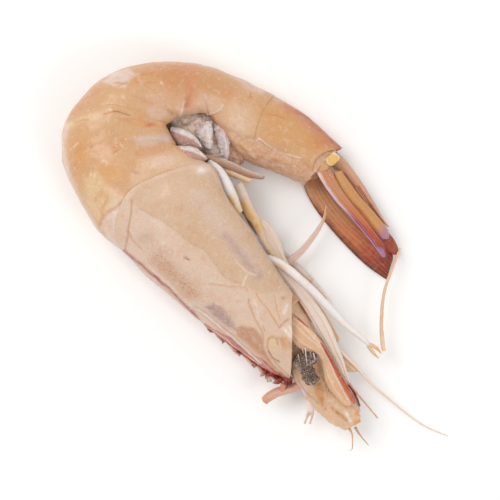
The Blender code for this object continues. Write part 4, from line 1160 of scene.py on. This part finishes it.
def paint_outer_right(art, part, across):
    art.lay(smooth((part - 0.3) / 0.3), (196, 108, 62), 0.8)
    art.lay(smooth((part - 0.55) / 0.25), (158, 52, 36), 0.85)
    art.lay(smooth((part - 0.75) / 0.15), (120, 14, 8), 0.85)
    art.lay(smooth((-0.55 - across) / 0.25) * smooth((part - 0.22) / 0.2), (108, 34, 26), 0.85)
    art.lay(smooth((part - 0.965) / 0.02) * smooth((across + 0.6) / 0.3), (46, 34, 30), 0.9, -0.1)
    art.lay(smooth((-0.93 - across) / 0.04) * smooth((part - 0.1) / 0.1), (58, 24, 22), 0.9)


def paint_inner_right(art, part, across):
    art.lay(smooth((part - 0.35) / 0.3), (158, 48, 36), 0.9)
    art.lay(smooth((np.abs(across) - 0.88) / 0.08), (98, 34, 28), 0.7)


print("tail leaves have their paint")

# %% [markdown]
# The leaves themselves. Their finish is the shell's, with finer ribs pressed in by the vertex
# heights and a fainter blotch, so that the painted bands stay clear.
# %% The tail fan
tail_look = moist_look("tail_moist", 0.12, 0.26, 0.32, 0.12, 0.12, 0.35)
TELSON = [(20.0, 27.0, 17.0, 25.0, 4.8, 2.6), (22.3, 24.9, 19.5, 22.5, 4.7, 2.3),
          (24.8, 21.6, 21.8, 20.8, 4.6, 2.0), (27.3, 18.0, 24.5, 17.5, 4.4, 1.7),
          (29.8, 13.8, 27.5, 13.6, 4.2, 1.3), (31.9, 10.1, 30.5, 10.1, 4.0, 0.9),
          (33.5, 7.9, 33.1, 8.0, 3.9, 0.4)]
INNER_LEFT = [(21.0, 22.0, 19.0, 21.5, 7.7, 0.4), (23.3, 18.8, 20.3, 18.0, 7.5, 0.6),
              (25.7, 15.6, 22.8, 14.3, 7.1, 0.6), (28.3, 12.8, 25.5, 11.8, 6.6, 0.6),
              (31.0, 9.7, 28.3, 8.3, 6.1, 0.6), (32.8, 7.3, 30.9, 5.4, 5.6, 0.5),
              (33.5, 5.0, 31.8, 4.7, 5.3, 0.4)]
OUTER_LEFT = [(18.25, 22.5, 14.0, 22.5, 8.4, 0.5), (20.5, 18.0, 15.8, 19.3, 8.8, 0.6),
              (23.5, 13.8, 18.75, 14.9, 8.8, 0.6), (26.5, 10.3, 22.3, 11.1, 8.2, 0.6),
              (29.3, 6.8, 26.0, 7.0, 7.4, 0.6), (31.8, 3.5, 29.0, 3.3, 6.6, 0.5),
              (32.6, 0.5, 31.6, 0.0, 6.2, 0.4)]
INNER_RIGHT = [(19.0, 20.2, 16.6, 18.2, 3.2, 0.4), (24.4, 15.4, 21.2, 13.2, 2.7, 0.5),
               (29.8, 10.2, 26.4, 7.9, 2.5, 0.5), (34.4, 5.4, 31.6, 3.2, 2.4, 0.5),
               (36.3, 1.9, 35.2, 0.4, 2.3, 0.4)]
OUTER_RIGHT = [(16.8, 21.5, 12.0, 20.5, 0.8, 0.4), (20.0, 17.0, 12.1, 17.8, 0.8, 0.6),
               (23.5, 12.5, 14.3, 13.4, 0.8, 0.6), (27.5, 8.3, 18.0, 8.4, 0.8, 0.6),
               (31.8, 5.5, 23.0, 2.8, 0.8, 0.6), (34.4, 2.8, 28.0, -2.0, 0.8, 0.5),
               (34.9, -0.3, 33.1, -5.6, 0.8, 0.4)]


def build_leaf(name, node, rows, base, paint, ribs, depth, tip):
    net, points, part, across = lofted(rows, 96, 170, 3, tip)
    art = Canvas(points, base, 0.5)
    paint(art, part + 0.03 * waver(points, 1.5, 4), across + 0.05 * waver(points, 1.8, 5))
    leaf_ribs(art, part, across, ribs, depth)
    return add_piece(name, net, art, tail_look, [node])


build_leaf("tail_middle", "telson", TELSON, (206, 154, 122), paint_telson, 2.0, 0.06, 0.0)
build_leaf("tail_inner_near", "uropod_inner_left", INNER_LEFT, (200, 144, 88), paint_inner_left,
           6.0, 0.05, 0.1)
build_leaf("tail_outer_near", "uropod_outer_left", OUTER_LEFT, (194, 132, 94), paint_outer_left,
           4.0, 0.05, 0.05)
build_leaf("tail_inner_far", "uropod_inner_right", INNER_RIGHT, (198, 134, 92), paint_inner_right,
           6.0, 0.06, 0.1)
build_leaf("tail_outer_far", "uropod_outer_right", OUTER_RIGHT, (198, 140, 98), paint_outer_right,
           7.0, 0.05, 0.0)
print("tail leaves finished")

# %% [markdown]
# Each pair of leaves hangs on a rounded lobe at the end of the last ring, with a pale rim and a
# dark violet outer edge. A yellow, pale-rimmed pad lies on the near one.
# %% The roots of the tail fan
BASE_LEFT = [(16.0, 26.5, 12.8, 23.5, 7.8, 1.9), (17.8, 24.5, 14.5, 21.5, 7.8, 1.9),
             (18.3, 23.0, 16.3, 21.3, 7.8, 1.5)]
BASE_RIGHT = [(12.4, 27.4, 9.2, 21.8, 1.9, 1.6), (16.0, 25.4, 12.6, 20.6, 1.8, 1.5),
              (17.8, 22.8, 14.2, 19.6, 1.7, 0.9)]
PAD = [(19.0, 26.5, 16.8, 24.6, 9.4, 0.9), (20.0, 25.8, 17.5, 23.5, 9.4, 1.0),
       (20.6, 24.9, 18.5, 22.8, 9.4, 0.9)]
ROOT = (212, 160, 114)
ROOT_RIM = (228, 202, 180)


def build_lobe(name, node, rows, base, edge):
    net, points, _, _ = lofted(rows, 72, 60, 12, 0.3)
    art = Canvas(points, base, 0.5)
    middle = art.at.mean(axis=0)
    away = np.linalg.norm(art.at - middle, axis=1)
    art.lay(smooth((away / away.max() - 0.62) / 0.14), edge, 0.8, 0.06)
    art.stroke([(308, 162), (310, 167), (314, 171)], 1.4, (116, 44, 66), 0.85)
    art.stroke([(316, 151), (321, 150), (326, 153)], 1.2, (160, 142, 148), 0.7)
    art.height += 0.12 * waver(points, 1.5, 9)
    return add_piece(name, net, art, shell_look, [node] if node else ())


build_lobe("tail_root_near", "uropod_base_left", BASE_LEFT, ROOT, ROOT_RIM)
build_lobe("tail_root_far", "uropod_base_right", BASE_RIGHT, ROOT, ROOT_RIM)
build_lobe("tail_root_pad", None, PAD, (226, 186, 104), (236, 218, 198))
print("roots of the fan finished")

# %% [markdown]
# Under the abdomen, in the hollow of the curl, soft paddles crowd together over granular skin:
# two leaf shapes with violet-brown insides and pale rims painted as highlights, grey-violet lobes,
# and two long rods.
# %% The paddles under the abdomen
paddle_look = moist_look("paddle_moist", 0.24, 0.3, 0.44, 0.26, 0.2, 0.2)
LEAF_UPPER = [(-21.5, 32.5, -22.0, 29.5, 12.4, 0.9), (-18.75, 31.9, -19.3, 27.5, 13.2, 1.1),
              (-16.0, 30.3, -16.5, 27.0, 13.2, 0.9), (-13.8, 27.8, -14.5, 26.8, 13.2, 0.6)]
LEAF_LOWER = [(-20.3, 27.4, -20.5, 26.3, 15.4, 0.8), (-17.5, 27.3, -18.3, 24.5, 16.2, 1.0),
              (-15.0, 26.7, -15.8, 23.4, 16.2, 0.9), (-12.4, 24.8, -13.0, 23.6, 15.4, 0.6)]
LOBE_NEAR = [(-11.5, 34.0, -16.0, 33.5, 10.6, 1.2), (-11.3, 30.5, -15.0, 30.0, 11.2, 1.4),
             (-11.5, 27.3, -13.0, 27.0, 11.4, 0.9)]
LOBE_FAR = [(-9.0, 33.0, -11.3, 33.0, 10.2, 1.0), (-7.3, 29.0, -10.3, 29.0, 10.6, 1.3),
            (-7.4, 24.5, -9.0, 24.5, 10.2, 0.8)]
LOBE_HIDDEN = [(-12.4, 36.6, -18.6, 36.8, 4.6, 1.0), (-12.6, 31.6, -18.2, 31.6, 4.6, 1.2),
               (-12.8, 27.2, -16.4, 27.4, 4.6, 0.8)]
SKIN = [(-17.0, 37.0, -23.6, 35.2, 9.4, 3.0), (-11.4, 36.0, -22.4, 31.0, 8.2, 3.6),
        (-7.0, 32.2, -17.0, 26.8, 6.6, 3.6), (-3.4, 27.6, -12.6, 23.8, 6.4, 3.4),
        (-2.4, 24.4, -8.0, 22.0, 6.0, 2.8)]


def paint_hollow(art):
    """Granular skin with small brown and violet spots, browner to the right, and a pale column."""
    art.patch([(228, 138), (242, 142), (245, 152), (244, 170), (230, 168)], 3, (180, 130, 100), 0.85)
    art.spot((186, 124.5), (5, 2), (142, 92, 54), 0.9, -0.4)
    art.spot((198, 125.5), (3, 2), (150, 98, 96), 0.9, -0.3)
    art.spot((208.5, 125.5), (2.5, 1.8), (160, 110, 74), 0.9, -0.3)
    art.stroke([(210, 146), (212, 155), (214, 164)], 3.0, (236, 220, 206), 0.9, 0.4)
    art.stroke([(210, 130), (211, 139), (212, 148)], 1.2, (234, 224, 218), 0.8, 0.2)


def build_paddle(name, node, rows, inside, rim, grains, paint=None, caps=5):
    net, points, _, across = lofted(rows, 80, 100, caps, 0.3)
    art = Canvas(points, inside, 0.8)
    blots = 0.6 * min(1.0, 3.0 * grains)
    art.lay(smooth(waver(points, 0.9, 15) * 2.5), (228, 216, 208), blots)
    art.lay(smooth(waver(points, 1.1, 16) * 2.5), (160, 122, 116), blots)
    if paint:
        paint(art)
    else:
        # The pale rim along one side of each paddle is a painted highlight.
        art.lay(smooth((across - 0.15) / 0.35), rim, 0.9, 0.15)
    art.height += grains * waver(points, 0.8, len(name)) + 0.12 * waver(points, 2.0, 8)
    art.wrinkle += 0.8
    return add_piece(name, net, art, paddle_look, [node] if node else ())


build_paddle("paddle_leaf_upper", "swimmeret_leaf_upper", LEAF_UPPER, (186, 144, 132), (232, 222, 220), 0.1)
build_paddle("paddle_leaf_lower", "swimmeret_leaf_lower", LEAF_LOWER, (188, 144, 130), (234, 224, 220), 0.1)
build_paddle("paddle_lobe_near", "swimmeret_lobe_near", LOBE_NEAR, (206, 190, 186), (230, 222, 220), 0.3)
build_paddle("paddle_lobe_far", "swimmeret_lobe_far", LOBE_FAR, (196, 178, 178), (226, 216, 218), 0.3)
build_paddle("paddle_lobe_hidden", "swimmeret_hidden", LOBE_HIDDEN, (196, 176, 172), (226, 214, 212), 0.3)
# The skin's pale base is partly its own colour and partly painted light, made paler to offset the shade deep
# in the hollow.
build_paddle("paddle_skin", None, SKIN, (226, 202, 184), (226, 202, 184), 0.35, paint_hollow, 8)
build_stalk("paddle_rod_upper", "swimmeret_rod_upper",
            [(-13.0, 25.0, 11.8, 0.9), (-9.2, 23.9, 12.0, 1.05), (-6.0, 22.6, 12.0, 1.05),
             (-2.9, 21.2, 12.0, 0.9), (0.3, 20.2, 11.8, 0.6), (1.5, 20.0, 11.6, 0.3)],
            (178, 140, 118), paddle_look, "swimmeret", ridge=0.1,
            strokes=[([(222, 158), (236, 164), (248, 170), (262, 175)], 1.4, (232, 222, 218), 0.9),
                     ([(248, 176), (256, 179), (262, 180)], 1.4, (196, 138, 90), 0.7)])
build_stalk("paddle_rod_lower", "swimmeret_rod_lower",
            [(-8.0, 22.0, 10.6, 1.1), (-5.0, 20.8, 10.8, 1.1), (-1.8, 19.4, 10.6, 1.0)],
            (228, 200, 172), **PALE, ridge=0.06,
            strokes=[([(228, 174), (239, 180), (250, 185)], 1.6, (222, 166, 92), 0.85)])
print("paddles finished, pieces so far", len(made_pieces))

# %% [markdown]
# Fine pale hairs hang over the eye, left from the plate beside it. Each is a stalk that starts up
# to a third of a millimetre thick and thins to its tip. All are joined into one piece.
# %% Hairs over the eye
HAIRS = [[(11.5, -22.0, 15.8), (11.7, -24.0, 16.4), (12.0, -26.1, 16.5)],
         [(9.75, -23.5, 15.8), (9.9, -24.2, 16.3), (10.1, -25.0, 16.5)],
         [(12.75, -23.0, 15.8), (12.9, -23.7, 16.3), (13.0, -24.5, 16.5)],
         [(13.5, -23.25, 15.8), (13.7, -24.0, 16.3), (13.9, -24.75, 16.5)],
         [(10.75, -22.25, 15.8), (11.0, -22.9, 16.3), (11.25, -23.5, 16.5)]]


def build_hairs():
    whole = bmesh.new()
    gathered = []
    for number, hair in enumerate(HAIRS):
        line = [(*point, radius / (1.0 + 0.6 * (number % 3)))
                for point, radius in zip(hair, (0.16, 0.12, 0.04))]
        net, points, _, _ = stalk_points(line, 8, 24)
        for vert, point in zip(net.verts, points):
            vert.co = point
        strand = bpy.data.meshes.new("strand")
        net.to_mesh(strand)
        net.free()
        whole.from_mesh(strand)
        bpy.data.meshes.remove(strand)
        gathered.append(points)
    art = Canvas(np.vstack(gathered), (216, 202, 194))
    return add_piece("eye_hairs", whole, art, pale_look)


build_hairs()
print("hairs", len(HAIRS))

# %% [markdown]
# A plain pale floor, a bright even sky and two soft lamps stand in for a light tent. The large
# lamp gives the plates their soft highlights, and the small one lifts the near side.
# %% Floor and light
floor_look = Look("floor_pale")
floor_tone = floor_look.cloud(60.0, 2.0) * 0.02 + 0.97
floor_look.feed(floor_look.shader.inputs["Base Color"], floor_tone)
floor_look.feed(floor_look.shader.inputs["Roughness"], floor_look.cloud(8.0) * 0.1 + 0.75)
floor_net = bmesh.new()
bmesh.ops.create_grid(floor_net, x_segments=2, y_segments=2, size=3.0)
floor_mesh = bpy.data.meshes.new("floor")
floor_net.to_mesh(floor_mesh)
floor_net.free()
floor_mesh.materials.append(floor_look.material)
floor = bpy.data.objects.new("floor", floor_mesh)
bpy.context.scene.collection.objects.link(floor)
floor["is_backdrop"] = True

world = bpy.data.worlds.new("light_tent")
world.use_nodes = True
world.node_tree.nodes["Background"].inputs["Color"].default_value = (1.0, 0.99, 0.97, 1.0)
world.node_tree.nodes["Background"].inputs["Strength"].default_value = 0.71
bpy.context.scene.world = world
bpy.context.scene.view_settings.view_transform = "Standard"


def add_lamp(name, place, size, power):
    lamp_data = bpy.data.lights.new(name, "AREA")
    lamp_data.size = size
    lamp_data.energy = power
    lamp = bpy.data.objects.new(name, lamp_data)
    lamp.location = place
    lamp.rotation_euler = (-Vector(place)).to_track_quat("-Z", "Y").to_euler()
    bpy.context.scene.collection.objects.link(lamp)


add_lamp("large_soft", (-0.45, 0.35, 0.7), 0.5, 3.2)
add_lamp("small_soft", (0.5, -0.4, 0.6), 0.3, 1.2)
print("floor and lamps set")

# %% [markdown]
# Last, the triangles of the shown pieces are counted. The looks have to stay in the
# solids' box, within a few millimetres.
# %% Count the triangles
bpy.context.view_layer.update()


triangles = 0
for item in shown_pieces():
    triangles += len(item.data.loops) - 2 * len(item.data.polygons)
print("pieces", len(made_pieces), "triangles before walls", triangles)
